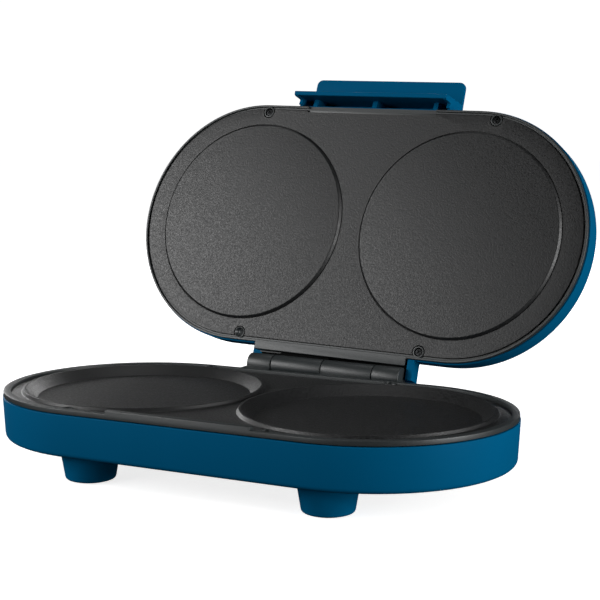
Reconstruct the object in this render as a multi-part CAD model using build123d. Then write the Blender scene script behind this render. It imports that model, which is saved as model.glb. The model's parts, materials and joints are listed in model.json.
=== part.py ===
"""Twin pancake maker: a racetrack base and a lid on a rear hinge, at real size in millimetres.

While modelling, X runs along the length, Y from the front to the hinge and Z up. Y = 0 is the middle
of the base, and Z = 0 is the plane where the two rims meet with the lid closed. The lid's pieces are
modelled closed, then swung open about the hinge. At the end everything moves so that the origin is on
the ground, under the middle of the whole object's box.
"""
from build123d import *
import math
import os

# Outline, shared by both halves
ARC_X = 73.3              # half the distance between the centres of the two end arcs
POCKET_X = 71.4           # middle of each pancake, from the middle of the plate
CLEARANCE = 0.3           # gap between pieces that don't touch

# Hinge: its line leans a little, so that the open lid leans to its right and still closes square
HINGE_Y = 90.5            # middle of the axis, from the middle of the base
HINGE_Z = 0.65
LID_OPEN = 108.7          # degrees from closed to the rest pose, about X
LID_LEAN = 1.6            # degrees that the open lid leans in its own plane
KNUCKLE_R = 6.3
PIN_R = 2.0
WEB_DROP = 0.35            # webs of the base's knuckles, below the rim's top
RUNNING_FIT = 0.05        # radial clearance of a pin or a screw in its hole
BASE_KNUCKLES = ((-52.2, -35.6), (-0.4, 33.6))     # from X, to X
LID_KNUCKLES = ((-35.2, -0.8), (34.0, 47.2))
CHEEK = (47.2, 51.5)      # end cheek of the lid's hinge
CHEEK_R = KNUCKLE_R

# Base, downwards from the rim
BASE_R = 78.9             # outer radius of the rim
BASE_RIM_WIDTH = 4.2
BASE_RIM_HEIGHT = 2.7
BASE_PLATE_Z = -1.6       # top of the plate's flange
BASE_PLATE_FLANGE = 2.8
BASE_PLATE_THICK = 3.6    # pocket floor
SHELL_R = 79.4            # blue shell at its top edge
SHELL_TOP = -3.2
SHELL_BOTTOM = -27.0
SHELL_DRAFT = 3.2         # degrees
SHELL_WALL = 2.8
SHELL_ROUND = 3.0
SKIRT_DEPTH = 11.0
SKIRT_WALL = 1.6
BAR_HALF = 43.7           # raised bar at the front of the rim
BAR_HEIGHT = 1.8
LIP_CREST_Z = 0.4
LIP_CREST_R = 68.4
POCKET_FLOOR_R = 61.0
POCKET_FLOOR_Z = -5.0

# Feet
FOOT_X = 73.6
FOOT_Y = 50.7
FOOT_TOP_R = 16.6
FOOT_BOTTOM_R = 13.8
PAD_R = 10.5
PAD_PROUD = 0.6           # how far the rubber stands below the moulded foot
GROUND_Z = -44.5

# Lid, upwards from the rim
LID_R = 77.65             # outer radius of the rim
LID_RIM_Z = 0.5
LID_RIM_WIDTH = 1.35
LID_GROOVE_Z = 2.0
LID_PLATE_Z = 0.8
LID_PLATE_THICK = 2.0
LID_PLATE_R = 75.1
LID_SHELL_R = 78.5
LID_SHELL_Z = 3.3
LID_TOP = 26.5
LID_ROUND = 12.0          # rounding between the lid's wall and its top
LID_WALL = 2.2
DISC_R = 64.6
DISC_HEIGHT = 1.8
DISC_THICK = 2.2

# Handle, moulded on the lid's front: a flange, and a visor that hangs in front of the base's rim
HANDLE_HALF = 52.4
HANDLE_FRONT = -102.5
HANDLE_Z = 20.6           # underside of the flange
HANDLE_THICK = 2.5
HANDLE_CORNER = 4.0
VISOR_EDGE = (-85.4, -6.5)     # outer face at its free edge, as (Y, Z)
VISOR_ROOT_Y = -87.5      # outer face where it meets the flange
VISOR_THICK = 2.8
WEB_STEP = (-82.3, 2.4)   # inner corner of the end webs, above the base's rim
RIB_X = 41.8
RIB_Z = 4.0
RIB_THICK = 3.0
WEB_THICK = 2.0

# Hinge cover, moulded on the lid's back
COVER_HALF = 57.0
COVER_INNER_R = 7.9
COVER_THICK = 2.2

# Heating
RING_R = 45.0             # middle of the element's ring
ELEMENT_R = 3.2
RING_START = 25.0         # degrees that the ring stays open on each side of the middle line
SHIELD_R = 58.0
SHIELD_THICK = 0.6
SHIELD_RIM = 3.0
SHIELD_GAP = 2.6          # from the rings to the shield
SHIELD_POST_R = 50.0
POST_R = 3.2

# Screws
BASE_SCREW_X = (-71.5, 51.0)               # the same along the front and the back
LID_SCREWS = ((-72.9, -1), (84.3, -1), (-64.8, 1), (58.8, 1))      # X, side of the plate
BASE_SCREW_RAIL = 74.0    # distance of the screws from the plate's spine
LID_SCREW_RAIL = 73.0
SCREW_SINK = 0.8          # how far a head lies below the plate's surface
LUG_R = 3.6
LUG_GAP = 0.5             # dark gap around each lug
SHANK_R = 1.5
HEAD_R = 2.5
HEAD_HEIGHT = 1.6
PLATE_SCREW_X = 16.0
PLATE_SCREW_Y = 62.0
TAB_HALF = 6.0
TAB_THICK = 2.2

# Electrical pieces in the base
GLAND_X = -56.0
GLAND_Z = -16.9
GLAND_DEPTH = 8.0
CORD_R = 3.3              # bore for the mains cord
CLAMP_Y = 65.5
BLOCK = (24.0, 11.0, 9.0)
BLOCK_AT = (-28.0, 61.0)
THERMOSTAT_Y = -38.0
BLADE_REACH = 11.0        # how far the thermostat's blades hang below the plate
FUSE_Y = 42.0
LEAD_R = 1.1

# Signal lights in the lid
LIGHT_X = 11.0
LIGHT_Y = -52.0
LENS_R = 4.0
BOARD_Z = 17.6
BOARD_THICK = 1.6
BOARD_POST_X = 20.5

# Values worked out from the driving dimensions
SIDES = (-1, 1)
CORNERS = [(sx, sy) for sx in SIDES for sy in SIDES]
HALF_TURN = math.radians(LID_OPEN / 2)
HALF_LEAN = math.radians(LID_LEAN / 2)
HINGE_DIR = Vector(1, -math.tan(HALF_LEAN), -math.tan(HALF_LEAN) / math.tan(HALF_TURN)).normalized()
HINGE_TURN = math.degrees(2 * math.acos(math.cos(HALF_TURN) * math.cos(HALF_LEAN)))
HINGE_UP = Vector(0, 0, 1) - HINGE_DIR * HINGE_DIR.Z
HINGE = Plane(origin=(0, HINGE_Y, HINGE_Z), x_dir=HINGE_DIR, z_dir=HINGE_UP).location
BASE_INNER_R = BASE_R - BASE_RIM_WIDTH
BASE_FLANGE_LOW = BASE_PLATE_Z - BASE_PLATE_FLANGE
BASE_SKIRT_R = SHELL_R - SHELL_WALL - SKIRT_DEPTH * math.tan(math.radians(SHELL_DRAFT)) - CLEARANCE
POCKET_UNDER = POCKET_FLOOR_Z - BASE_PLATE_THICK
BASE_FLOOR = SHELL_BOTTOM + SHELL_WALL
BASE_TAB_Z = POCKET_UNDER                  # top of the base bezel's tabs for the plate screws
BASE_RING_Z = POCKET_UNDER - ELEMENT_R
BASE_SHIELD_Z = BASE_RING_Z - ELEMENT_R - SHIELD_GAP
BASE_TAB_HEAD = BASE_TAB_Z - TAB_THICK - HEAD_HEIGHT
BASE_SHIELD_HEAD = BASE_SHIELD_Z + SHIELD_THICK + HEAD_HEIGHT
FOOT_HEIGHT = SHELL_BOTTOM - GROUND_Z - PAD_PROUD
LID_PLATE_BACK = LID_PLATE_Z + LID_PLATE_THICK
LID_SKIRT_R = LID_SHELL_R - LID_WALL - CLEARANCE
LID_STRIP_Z = BAR_HEIGHT + 0.4             # floor of the recess that takes the base's bar
LID_STRIP_Y = -73.9
LID_STRIP_HALF = BAR_HALF + 0.6
LID_FLANGE = (-52.2, 51.5)
LID_FLANGE_Y = 82.2
LID_ARM = (3.0, 6.8)                       # heights of the webs that carry the lid's knuckles
LID_TAB_Z = 7.4
WEB_GAP = 1.2                              # between the cheek and the shell's web
LID_END_WEB = (1.4, 8.5)                   # heights of the shell's web beside the hinge's cheek
LID_DISC_BACK = LID_PLATE_Z - DISC_HEIGHT + DISC_THICK
LID_RING_Z = LID_DISC_BACK + ELEMENT_R
LID_SHIELD_Z = LID_RING_Z + ELEMENT_R + SHIELD_GAP
LID_TAB_HEAD = LID_TAB_Z + TAB_THICK + HEAD_HEIGHT
LID_SHIELD_HEAD = LID_SHIELD_Z - SHIELD_THICK - HEAD_HEIGHT
LID_INNER = LID_TOP - LID_WALL
GLAND_NECK_R = CORD_R + 1.5
PIN_LENGTH = 10.0                          # of the rings' terminals
PIN_TURN = math.radians(RING_START)
PIN_END_X = POCKET_X - RING_R * math.cos(PIN_TURN) - PIN_LENGTH * math.sin(PIN_TURN)
PIN_END_Y = RING_R * math.sin(PIN_TURN) - PIN_LENGTH * math.cos(PIN_TURN)


def slab(radius, z_low, z_high):
    """Racetrack block between two heights."""
    return extrude(Pos(0, 0, z_low) * SlotCenterToCenter(2 * ARC_X, 2 * radius), amount=z_high - z_low)


def ring(outer, inner, z_low, z_high):
    """Racetrack ring between two heights."""
    return slab(outer, z_low, z_high) - slab(inner, z_low - 1, z_high + 1)


def tub(radius, z_top, z_bottom, rounding):
    """Racetrack block that narrows downwards by the shell's draft, its lower edge rounded."""
    face = Pos(0, 0, z_top) * SlotCenterToCenter(2 * ARC_X, 2 * radius)
    body = extrude(face, amount=z_top - z_bottom, dir=(0, 0, -1), taper=SHELL_DRAFT)
    return fillet(body.edges().group_by(Axis.Z)[0], radius=rounding)


def block(x_low, x_high, y_low, y_high, z_low, z_high):
    """Box between its lowest and highest corners."""
    middle = Pos((x_low + x_high) / 2, (y_low + y_high) / 2, (z_low + z_high) / 2)
    return middle * Box(x_high - x_low, y_high - y_low, z_high - z_low)


def post(x, y, radius, z_low, z_high):
    """Upright cylinder between two heights."""
    return Pos(x, y, (z_low + z_high) / 2) * Cylinder(radius, z_high - z_low)


def bar(radius, x_low, x_high, y=0.0, z=0.0):
    """Cylinder along X."""
    return Pos((x_low + x_high) / 2, y, z) * Rotation(0, 90, 0) * Cylinder(radius, x_high - x_low)


def plug(x, y, z, radius, length):
    """Cylinder along Y, centred on a point."""
    return Pos(x, y, z) * Rotation(90, 0, 0) * Cylinder(radius, length)


def profile_x(points, x_low, x_high):
    """Block along X whose section is given as (y, z) points."""
    face = make_face(Polyline([(x_low, y, z) for y, z in points], close=True))
    return extrude(face, amount=x_high - x_low, dir=(1, 0, 0))


def turned(points, x):
    """Solid of revolution about the upright axis at (x, 0) from (radius, z) points."""
    face = make_face(Polyline([(r, 0, z) for r, z in points], close=True))
    return Pos(x, 0, 0) * revolve(face, axis=Axis.Z)


def on_rail(x, side, rail):
    """Point at x on a racetrack at a distance rail from the spine."""
    past_arc = max(abs(x) - ARC_X, 0.0)
    return (x, side * math.sqrt(rail**2 - past_arc**2))


BASE_SCREW_POINTS = [on_rail(x, side, BASE_SCREW_RAIL) for x in BASE_SCREW_X for side in SIDES]
LID_SCREW_POINTS = [on_rail(x, side, LID_SCREW_RAIL) for x, side in LID_SCREWS]
PLATE_SCREW_POINTS = [(sx * PLATE_SCREW_X, sy * PLATE_SCREW_Y) for sx, sy in CORNERS]
SHIELD_POINTS = [
    (side * (POCKET_X + SHIELD_POST_R * math.cos(turn)), SHIELD_POST_R * math.sin(turn))
    for side in SIDES
    for turn in (math.pi / 3, math.pi, 5 * math.pi / 3)
]


def screw(length):
    """Cross-head screw, its head's top at the origin and its shank pointing down."""
    head = post(0, 0, HEAD_R, -HEAD_HEIGHT, 0)
    head = fillet(head.edges().group_by(Axis.Z)[-1], radius=0.5)
    cross = block(-1.3, 1.3, -0.35, 0.35, -0.9, 0.3) + block(-0.35, 0.35, -1.3, 1.3, -0.9, 0.3)
    return head - cross + post(0, 0, SHANK_R, -length, -HEAD_HEIGHT)


def screws_at(places, z, length, upwards=False):
    """Group of equal screws with their heads' tops at height z."""
    turn = Rotation(180, 0, 0) if upwards else Rotation(0, 0, 0)
    return [Pos(x, y, z) * turn * screw(length) for x, y in places]


def pilot(x, y, z_low, z_high):
    """Hole that takes a screw's shank with a running fit."""
    return post(x, y, SHANK_R + RUNNING_FIT, z_low, z_high)


def saddle(z_plate, direction):
    """Clip over an element's tube, with two feet on the plate."""
    reach = ELEMENT_R + CLEARANCE
    outer = reach + 1.0
    height = 2 * ELEMENT_R + CLEARANCE
    bridge = block(-outer, outer, -4, 4, 0, height + 1.0) - block(-reach, reach, -5, 5, -1, height)
    for side in SIDES:
        low, high = sorted((side * (outer - 0.5), side * (outer + 5.0)))
        bridge += block(low, high, -4, 4, 0, 1.0) - post(side * (outer + 2.6), 0, 1.3, -1, 2)
    flip = Rotation(0, 0, 0) if direction > 0 else Rotation(180, 0, 0)
    return Pos(0, 0, z_plate) * flip * bridge


def heater_clips(z_plate, direction):
    """Three saddles on each ring, away from its open side."""
    clips = []
    for side in SIDES:
        for turn in (-90, 0, 90):
            facing = Rotation(0, 0, turn if side > 0 else turn + 180)
            clips.append(Pos(side * POCKET_X, 0, 0) * facing * Pos(RING_R, 0, 0) * saddle(z_plate, direction))
    return clips


def heater(z):
    """One open ring of sheathed element for each pancake, with two terminal pins."""
    arc = CenterArc((0, 0, 0), RING_R, RING_START, 360 - 2 * RING_START)
    tube = sweep(Plane(origin=arc @ 0, z_dir=arc % 0) * Circle(ELEMENT_R), path=arc)
    for end in SIDES:
        start = Vector(RING_R * math.cos(PIN_TURN), end * RING_R * math.sin(PIN_TURN), 0)
        along = Vector(math.sin(PIN_TURN), -end * math.cos(PIN_TURN), 0)
        middle = Plane(origin=start + along * (PIN_LENGTH / 2 - 0.5), z_dir=along)
        tube += middle.location * Cylinder(1.3, PIN_LENGTH + 1)
    return [Pos(side * POCKET_X, 0, z) * Rotation(0, 0, 0 if side < 0 else 180) * tube for side in SIDES]


def heat_shield(z, direction):
    """Two round sheet pans behind the rings, their rims turned towards the plate."""
    pans = []
    for side in SIDES:
        low, high = sorted((z, z - direction * SHIELD_RIM))
        hollow = sorted((z - direction * SHIELD_THICK, z - direction * (SHIELD_RIM + 1)))
        pan = post(side * POCKET_X, 0, SHIELD_R, low, high)
        pan -= post(side * POCKET_X, 0, SHIELD_R - SHIELD_THICK, *hollow)
        for x, y in SHIELD_POINTS:
            if x * side > 0:
                pan -= post(x, y, SHANK_R + 0.2, z - 5, z + 5)
        pans.append(pan)
    return pans


def base_shell():
    """Blue tub with four hollow cone feet, screw posts, vents and the cord's hole."""
    body = tub(SHELL_R, SHELL_TOP, SHELL_BOTTOM, SHELL_ROUND)
    for sx, sy in CORNERS:
        cone = Cone(FOOT_BOTTOM_R, FOOT_TOP_R, FOOT_HEIGHT)
        cone = fillet(cone.edges().group_by(Axis.Z)[0], radius=2.0)
        body += Pos(sx * FOOT_X, sy * FOOT_Y, SHELL_BOTTOM - FOOT_HEIGHT / 2) * cone
    body -= tub(SHELL_R - SHELL_WALL, SHELL_TOP, BASE_FLOOR, 1.5)
    well_depth = FOOT_HEIGHT - 1.0
    for sx, sy in CORNERS:
        well = Cone(FOOT_BOTTOM_R - SHELL_WALL, FOOT_TOP_R - SHELL_WALL, well_depth)
        body -= Pos(sx * FOOT_X, sy * FOOT_Y, BASE_FLOOR - well_depth / 2 + 0.2) * well
        body -= post(sx * FOOT_X, sy * FOOT_Y, PAD_R + 0.1, GROUND_Z - 1, GROUND_Z + 1.9)
    inside = tub(SHELL_R - 1, SHELL_TOP, SHELL_BOTTOM + 1, SHELL_ROUND)
    for x, y in BASE_SCREW_POINTS:
        body += post(x, y, LUG_R, BASE_FLOOR - 0.5, -SKIRT_DEPTH) & inside
        body -= pilot(x, y, BASE_FLOOR + 2, 0)
    for x, y in SHIELD_POINTS:
        body += post(x, y, POST_R, BASE_FLOOR - 0.5, BASE_SHIELD_Z)
        body -= pilot(x, y, BASE_FLOOR + 1, 0)
    for sx in SIDES:
        for step in range(-2, 3):
            x, y = sx * 36, step * 9
            body -= block(x - 12, x + 12, y - 1.5, y + 1.5, SHELL_BOTTOM - 1, BASE_FLOOR + 1)
    return body - plug(GLAND_X, SHELL_R, GLAND_Z, GLAND_NECK_R + 0.1, 12)


def base_bezel():
    """Rim of the base: ring, skirt, ledge for the plate, screw lugs, front bar and two knuckles."""
    rim = ring(BASE_R, BASE_INNER_R, -BASE_RIM_HEIGHT, 0)
    rim = fillet(rim.edges().group_by(Axis.Z)[-1], radius=0.4)
    rim += block(-BAR_HALF, BAR_HALF, -BASE_R, -BASE_INNER_R, -1, BAR_HEIGHT)
    rim += ring(BASE_SKIRT_R, BASE_INNER_R, BASE_FLANGE_LOW, -BASE_RIM_HEIGHT + 0.1)
    rim += ring(BASE_SKIRT_R, BASE_INNER_R - 2.6, BASE_FLANGE_LOW - 2.0, BASE_FLANGE_LOW)
    rim += ring(BASE_SKIRT_R, BASE_SKIRT_R - SKIRT_WALL, -SKIRT_DEPTH, BASE_FLANGE_LOW - 1.9)
    for x, y in PLATE_SCREW_POINTS:
        low, high = sorted((math.copysign(PLATE_SCREW_Y - 5, y), math.copysign(BASE_SKIRT_R - 0.5, y)))
        rim += block(x - TAB_HALF, x + TAB_HALF, low, high, BASE_TAB_Z - TAB_THICK, BASE_TAB_Z)
        rim -= post(x, y, SHANK_R + 0.2, -20, BASE_TAB_Z + 1)
    for x, y in BASE_SCREW_POINTS:
        rim += post(x, y, LUG_R, -SKIRT_DEPTH, -0.3) & slab(BASE_SKIRT_R, -SKIRT_DEPTH, 0)
        rim -= post(x, y, SHANK_R + 0.2, -30, 1)
        rim -= post(x, y, HEAD_R + 0.25, BASE_PLATE_Z - HEAD_HEIGHT, 2)
    reach = BASE_INNER_R + 1 - HINGE_Y
    edge = SHELL_R + 1.0 - HINGE_Y
    top = -HINGE_Z - WEB_DROP
    web = [(reach, top), (0, top), (0, -KNUCKLE_R), (edge, -HINGE_Z - BASE_RIM_HEIGHT - 1.5)]
    web += [(edge, -HINGE_Z - BASE_RIM_HEIGHT + 0.1), (reach, -HINGE_Z - BASE_RIM_HEIGHT + 0.1)]
    for x_low, x_high in BASE_KNUCKLES:
        rim += HINGE * (bar(KNUCKLE_R, x_low, x_high) + profile_x(web, x_low, x_high))
    return rim - HINGE * bar(PIN_R + RUNNING_FIT, BASE_KNUCKLES[0][0] + 2.5, BASE_KNUCKLES[-1][1] + 1)


def base_plate():
    """Cast pan plate: a flange with two round pockets, each inside a raised lip."""
    plate = slab(BASE_INNER_R - CLEARANCE, BASE_FLANGE_LOW, BASE_PLATE_Z)
    foot_r = LIP_CREST_R + 1.6
    cup = [(0, POCKET_UNDER), (POCKET_FLOOR_R + 2.5, POCKET_UNDER), (LIP_CREST_R - 1.0, BASE_FLANGE_LOW)]
    cup += [(foot_r, BASE_FLANGE_LOW), (foot_r, BASE_PLATE_Z), (LIP_CREST_R + 0.7, LIP_CREST_Z)]
    cup += [(LIP_CREST_R - 0.8, LIP_CREST_Z), (POCKET_FLOOR_R, POCKET_FLOOR_Z), (0, POCKET_FLOOR_Z)]
    for side in SIDES:
        plate -= post(side * POCKET_X, 0, LIP_CREST_R - 3, BASE_FLANGE_LOW - 1, BASE_PLATE_Z + 1)
        pocket = turned(cup, 0)
        crest = pocket.edges().filter_by(GeomType.CIRCLE).group_by(Axis.Z)[-1]
        pocket = fillet(crest, radius=0.65)
        circles = pocket.edges().filter_by(GeomType.CIRCLE)
        corner = [edge for edge in circles if abs(edge.radius - POCKET_FLOOR_R) < 0.1]
        plate += Pos(side * POCKET_X, 0, 0) * fillet(corner, radius=3.0)
    for x, y in BASE_SCREW_POINTS:
        plate -= post(x, y, LUG_R + LUG_GAP, BASE_FLANGE_LOW - 1, 2)
    for x, y in PLATE_SCREW_POINTS:
        plate += post(x, y, LUG_R, BASE_TAB_Z, BASE_FLANGE_LOW + 0.5)
        plate -= pilot(x, y, BASE_TAB_Z - 1, BASE_FLANGE_LOW + 0.6)
    return plate


def lid_bezel():
    """Rim of the lid: thin rim, groove, ledge, skirt, lugs, front recess, hinge flange and knuckles."""
    groove_r = LID_PLATE_R + 0.15
    edge_top = LID_SHELL_Z - 0.4
    rim = ring(LID_R, LID_R - LID_RIM_WIDTH, LID_RIM_Z, edge_top)
    rim = fillet(rim.edges().group_by(Axis.Z)[0], radius=0.3)
    rim += ring(LID_R, groove_r, LID_GROOVE_Z, edge_top)
    rim += ring(LID_SKIRT_R, groove_r, LID_GROOVE_Z, LID_PLATE_BACK + 1.9)
    rim += ring(LID_SKIRT_R, LID_SKIRT_R - 3.5, LID_PLATE_BACK, LID_PLATE_BACK + 1.9)
    rim += ring(LID_SKIRT_R, LID_SKIRT_R - SKIRT_WALL, LID_PLATE_BACK + 1.8, SKIRT_DEPTH)
    rim -= block(-LID_STRIP_HALF, LID_STRIP_HALF, -LID_R - 1, LID_STRIP_Y, -1, LID_STRIP_Z)
    rim += block(-LID_STRIP_HALF, LID_STRIP_HALF, -LID_R, LID_STRIP_Y, LID_STRIP_Z, edge_top)
    rim += block(*LID_FLANGE, LID_R - LID_RIM_WIDTH, LID_FLANGE_Y, LID_RIM_Z, edge_top)
    rim += block(*LID_FLANGE, LID_SHELL_R - 1, LID_FLANGE_Y, LID_RIM_Z, LID_ARM[1])
    rim += block(*LID_FLANGE, LID_SKIRT_R - 1, LID_SHELL_R, LID_ARM[0], LID_ARM[1])
    for x, y in PLATE_SCREW_POINTS:
        low, high = sorted((math.copysign(PLATE_SCREW_Y - 5, y), math.copysign(LID_SKIRT_R - 0.5, y)))
        rim += block(x - TAB_HALF, x + TAB_HALF, low, high, LID_TAB_Z, LID_TAB_Z + TAB_THICK)
        rim -= post(x, y, SHANK_R + 0.2, LID_TAB_Z - 1, 20)
    for x, y in LID_SCREW_POINTS:
        rim += post(x, y, LUG_R, LID_PLATE_Z, SKIRT_DEPTH) & slab(LID_SKIRT_R, 0, SKIRT_DEPTH)
        rim -= post(x, y, SHANK_R + 0.2, 0, 30)
        rim -= post(x, y, HEAD_R + 0.25, -1, LID_PLATE_Z + SCREW_SINK + HEAD_HEIGHT)
    reach = LID_SHELL_R - 1 - HINGE_Y
    arm = [height - HINGE_Z for height in LID_ARM]
    for x_low, x_high in LID_KNUCKLES:
        rim += HINGE * (bar(KNUCKLE_R, x_low, x_high) + block(x_low, x_high, reach, 0, *arm))
    rim += HINGE * (bar(CHEEK_R, *CHEEK) + block(*CHEEK, reach + 2, 0, LID_RIM_Z - HINGE_Z, arm[1]))
    return rim - HINGE * bar(PIN_R + RUNNING_FIT, LID_KNUCKLES[0][0] - 1, CHEEK[1] - 2.0)


def lid_plate():
    """Cast lid plate with two raised discs, hollow behind."""
    low = LID_PLATE_Z - DISC_HEIGHT
    root = LID_PLATE_Z + 0.1
    plate = slab(LID_PLATE_R, LID_PLATE_Z, LID_PLATE_BACK)
    for side in SIDES:
        plate += turned([(0, low), (DISC_R - 1.6, low), (DISC_R, root), (0, root)], side * POCKET_X)
        plate -= post(side * POCKET_X, 0, DISC_R - 3.5, LID_DISC_BACK, LID_PLATE_BACK + 1)
    for x, y in LID_SCREW_POINTS:
        plate -= post(x, y, LUG_R + LUG_GAP, -3, LID_PLATE_BACK + 1)
    notch_half = LID_STRIP_HALF + CLEARANCE
    plate -= block(-notch_half, notch_half, -LID_R, LID_STRIP_Y + CLEARANCE, -3, LID_PLATE_BACK + 1)
    for x, y in PLATE_SCREW_POINTS:
        plate += post(x, y, LUG_R, LID_PLATE_BACK - 0.5, LID_TAB_Z)
        plate -= pilot(x, y, LID_PLATE_BACK - 0.6, LID_TAB_Z + 1)
    return plate


def handle():
    """Flange to lift by, with the visor under it, its end webs and its ribs."""
    flange = block(-HANDLE_HALF, HANDLE_HALF, HANDLE_FRONT, -66, HANDLE_Z, HANDLE_Z + HANDLE_THICK)
    flange = fillet(flange.edges().filter_by(Axis.Z).group_by(Axis.Y)[0], radius=HANDLE_CORNER)
    flange = fillet(flange.edges().group_by(Axis.Z)[-1], radius=0.8)
    edge_y, edge_z = VISOR_EDGE
    top = HANDLE_Z + 0.5
    visor = [(edge_y, edge_z), (edge_y + VISOR_THICK, edge_z)]
    visor += [(VISOR_ROOT_Y + VISOR_THICK, top), (VISOR_ROOT_Y, top)]
    body = flange + profile_x(visor, -HANDLE_HALF, HANDLE_HALF)
    wall = -LID_SHELL_R + 1
    step_y, step_z = WEB_STEP
    web = [(edge_y + 0.5, edge_z + 1), (step_y, edge_z + 1), (step_y, step_z), (-BASE_R, step_z - 1)]
    web += [(-BASE_R, LID_SHELL_Z), (wall, LID_SHELL_Z), (wall, top), (VISOR_ROOT_Y + 0.5, top)]
    for side in SIDES:
        low, high = sorted((side * (HANDLE_HALF - WEB_THICK), side * HANDLE_HALF))
        body += profile_x(web, low, high)
    rib = [(edge_y + 1, RIB_Z + 1.5), (wall, RIB_Z), (wall, top), (VISOR_ROOT_Y + 0.5, top)]
    for step in (-1, 0, 1):
        body += profile_x(rib, step * RIB_X - RIB_THICK / 2, step * RIB_X + RIB_THICK / 2)
    return body


def hinge_cover():
    """Quarter tube behind the knuckles, with the strip and the end web that join it to the lid's wall."""
    outer_r = COVER_INNER_R + COVER_THICK
    cover = bar(outer_r, -COVER_HALF, COVER_HALF) & block(-99, 99, 0, 99, -2.0, 99)
    cover += block(-COVER_HALF, COVER_HALF, LID_SHELL_R - LID_WALL - HINGE_Y, 0, COVER_INNER_R, outer_r)
    cover = HINGE * (cover - bar(COVER_INNER_R, -COVER_HALF - 1, COVER_HALF + 1))
    return cover + block(LID_FLANGE[1] + WEB_GAP, COVER_HALF, LID_SHELL_R - 0.5, HINGE_Y, *LID_END_WEB)


def lid_shell():
    """Blue lid cover with its handle, hinge cover, screw posts and holes for the signal lights."""
    body = slab(LID_SHELL_R, LID_SHELL_Z, LID_TOP)
    body = fillet(body.edges().group_by(Axis.Z)[-1], radius=LID_ROUND)
    hollow = slab(LID_SHELL_R - LID_WALL, LID_SHELL_Z - 1, LID_INNER)
    hollow = fillet(hollow.edges().group_by(Axis.Z)[-1], radius=LID_ROUND - LID_WALL)
    body = body + handle() + hinge_cover() - hollow
    body -= block(LID_FLANGE[0] - 0.5, LID_FLANGE[1] + 0.5, 70, LID_SHELL_R + 1, 0, LID_ARM[1] + 0.6)
    for x, y in LID_SCREW_POINTS:
        body += post(x, y, LUG_R, SKIRT_DEPTH, LID_TOP - 6)
        body -= pilot(x, y, SKIRT_DEPTH - 1, LID_TOP - 8)
    for x, y in SHIELD_POINTS:
        body += post(x, y, POST_R, LID_SHIELD_Z, LID_INNER + 0.5)
        body -= pilot(x, y, LID_SHIELD_Z - 1, LID_INNER - 1)
    for side in SIDES:
        body -= post(side * LIGHT_X, LIGHT_Y, LENS_R + 0.1, LID_INNER - 1, LID_TOP + 1)
        body += post(side * BOARD_POST_X, LIGHT_Y, 2.6, BOARD_Z + BOARD_THICK, LID_INNER + 0.5)
    return body


def lens(side):
    """Round lens of a signal light, with a collar behind the lid's top."""
    x = side * LIGHT_X
    cap = post(x, LIGHT_Y, LENS_R, LID_INNER - 0.5, LID_TOP + 0.8)
    cap = fillet(cap.edges().group_by(Axis.Z)[-1], radius=0.7)
    cap += post(x, LIGHT_Y, LENS_R + 1.4, LID_INNER - 1.2, LID_INNER)
    return cap - post(x, LIGHT_Y, LENS_R - 1.4, LID_INNER - 2, LID_TOP - 0.6)


def lamp_board():
    """Small board with two neon lamps that stand in the lenses."""
    board = block(-25, 25, LIGHT_Y - 6, LIGHT_Y + 6, BOARD_Z, BOARD_Z + BOARD_THICK)
    for side in SIDES:
        lamp = post(side * LIGHT_X, LIGHT_Y, 2.0, BOARD_Z + BOARD_THICK - 0.1, LID_TOP - 1.6)
        board += fillet(lamp.edges().group_by(Axis.Z)[-1], radius=1.2)
    return board


def thermostat():
    """Bimetal disc thermostat with a mounting strap and two blade terminals, under the plate."""
    body = post(0, 0, 8.0, -6.5, 0) + block(-12, 12, -3.5, 3.5, -0.8, 0)
    for side in SIDES:
        body -= post(side * 10.2, 0, 1.2, -3, 1)
        body += block(side * 4 - 0.4, side * 4 + 0.4, -3, 3, -BLADE_REACH, -6)
    return Pos(0, THERMOSTAT_Y, BASE_FLANGE_LOW) * body


def thermal_fuse():
    """One-shot fuse in a sleeve, held to the plate by a strap."""
    body = bar(2.4, -9, 9, 0, -3) + bar(0.6, -13, 13, 0, -3)
    strap = block(-2.5, 2.5, -8, 8, -0.8, 0) + block(-2.5, 2.5, -3.4, 3.4, -6, 0)
    return Pos(0, FUSE_Y, BASE_FLANGE_LOW) * (body + strap)


def terminal_block():
    """Three-way screw terminal block on the base's floor."""
    length, width, height = BLOCK
    body = block(-length / 2, length / 2, -width / 2, width / 2, 0, height)
    for step in (-1, 0, 1):
        x = step * length / 3
        body -= post(x, 0, 1.6, height - 3, height + 1)
        body += post(x, 0, 1.4, height - 4, height - 2)
        body -= plug(x, 0, 4, LEAD_R + 0.4, width + 2)
    return Pos(*BLOCK_AT, BASE_FLOOR) * body


def cord_gland():
    """Bush in the back wall, where the mains cord enters: a flange outside and a neck through."""
    flange = plug(GLAND_X, SHELL_R + 0.8, GLAND_Z, GLAND_NECK_R + 1.4, 1.6)
    flange = fillet(flange.edges().group_by(Axis.Y)[-1], radius=0.7)
    neck = plug(GLAND_X, SHELL_R + 0.1 - GLAND_DEPTH / 2, GLAND_Z, GLAND_NECK_R, GLAND_DEPTH)
    return flange + neck - plug(GLAND_X, SHELL_R, GLAND_Z, CORD_R, 40)


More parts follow.
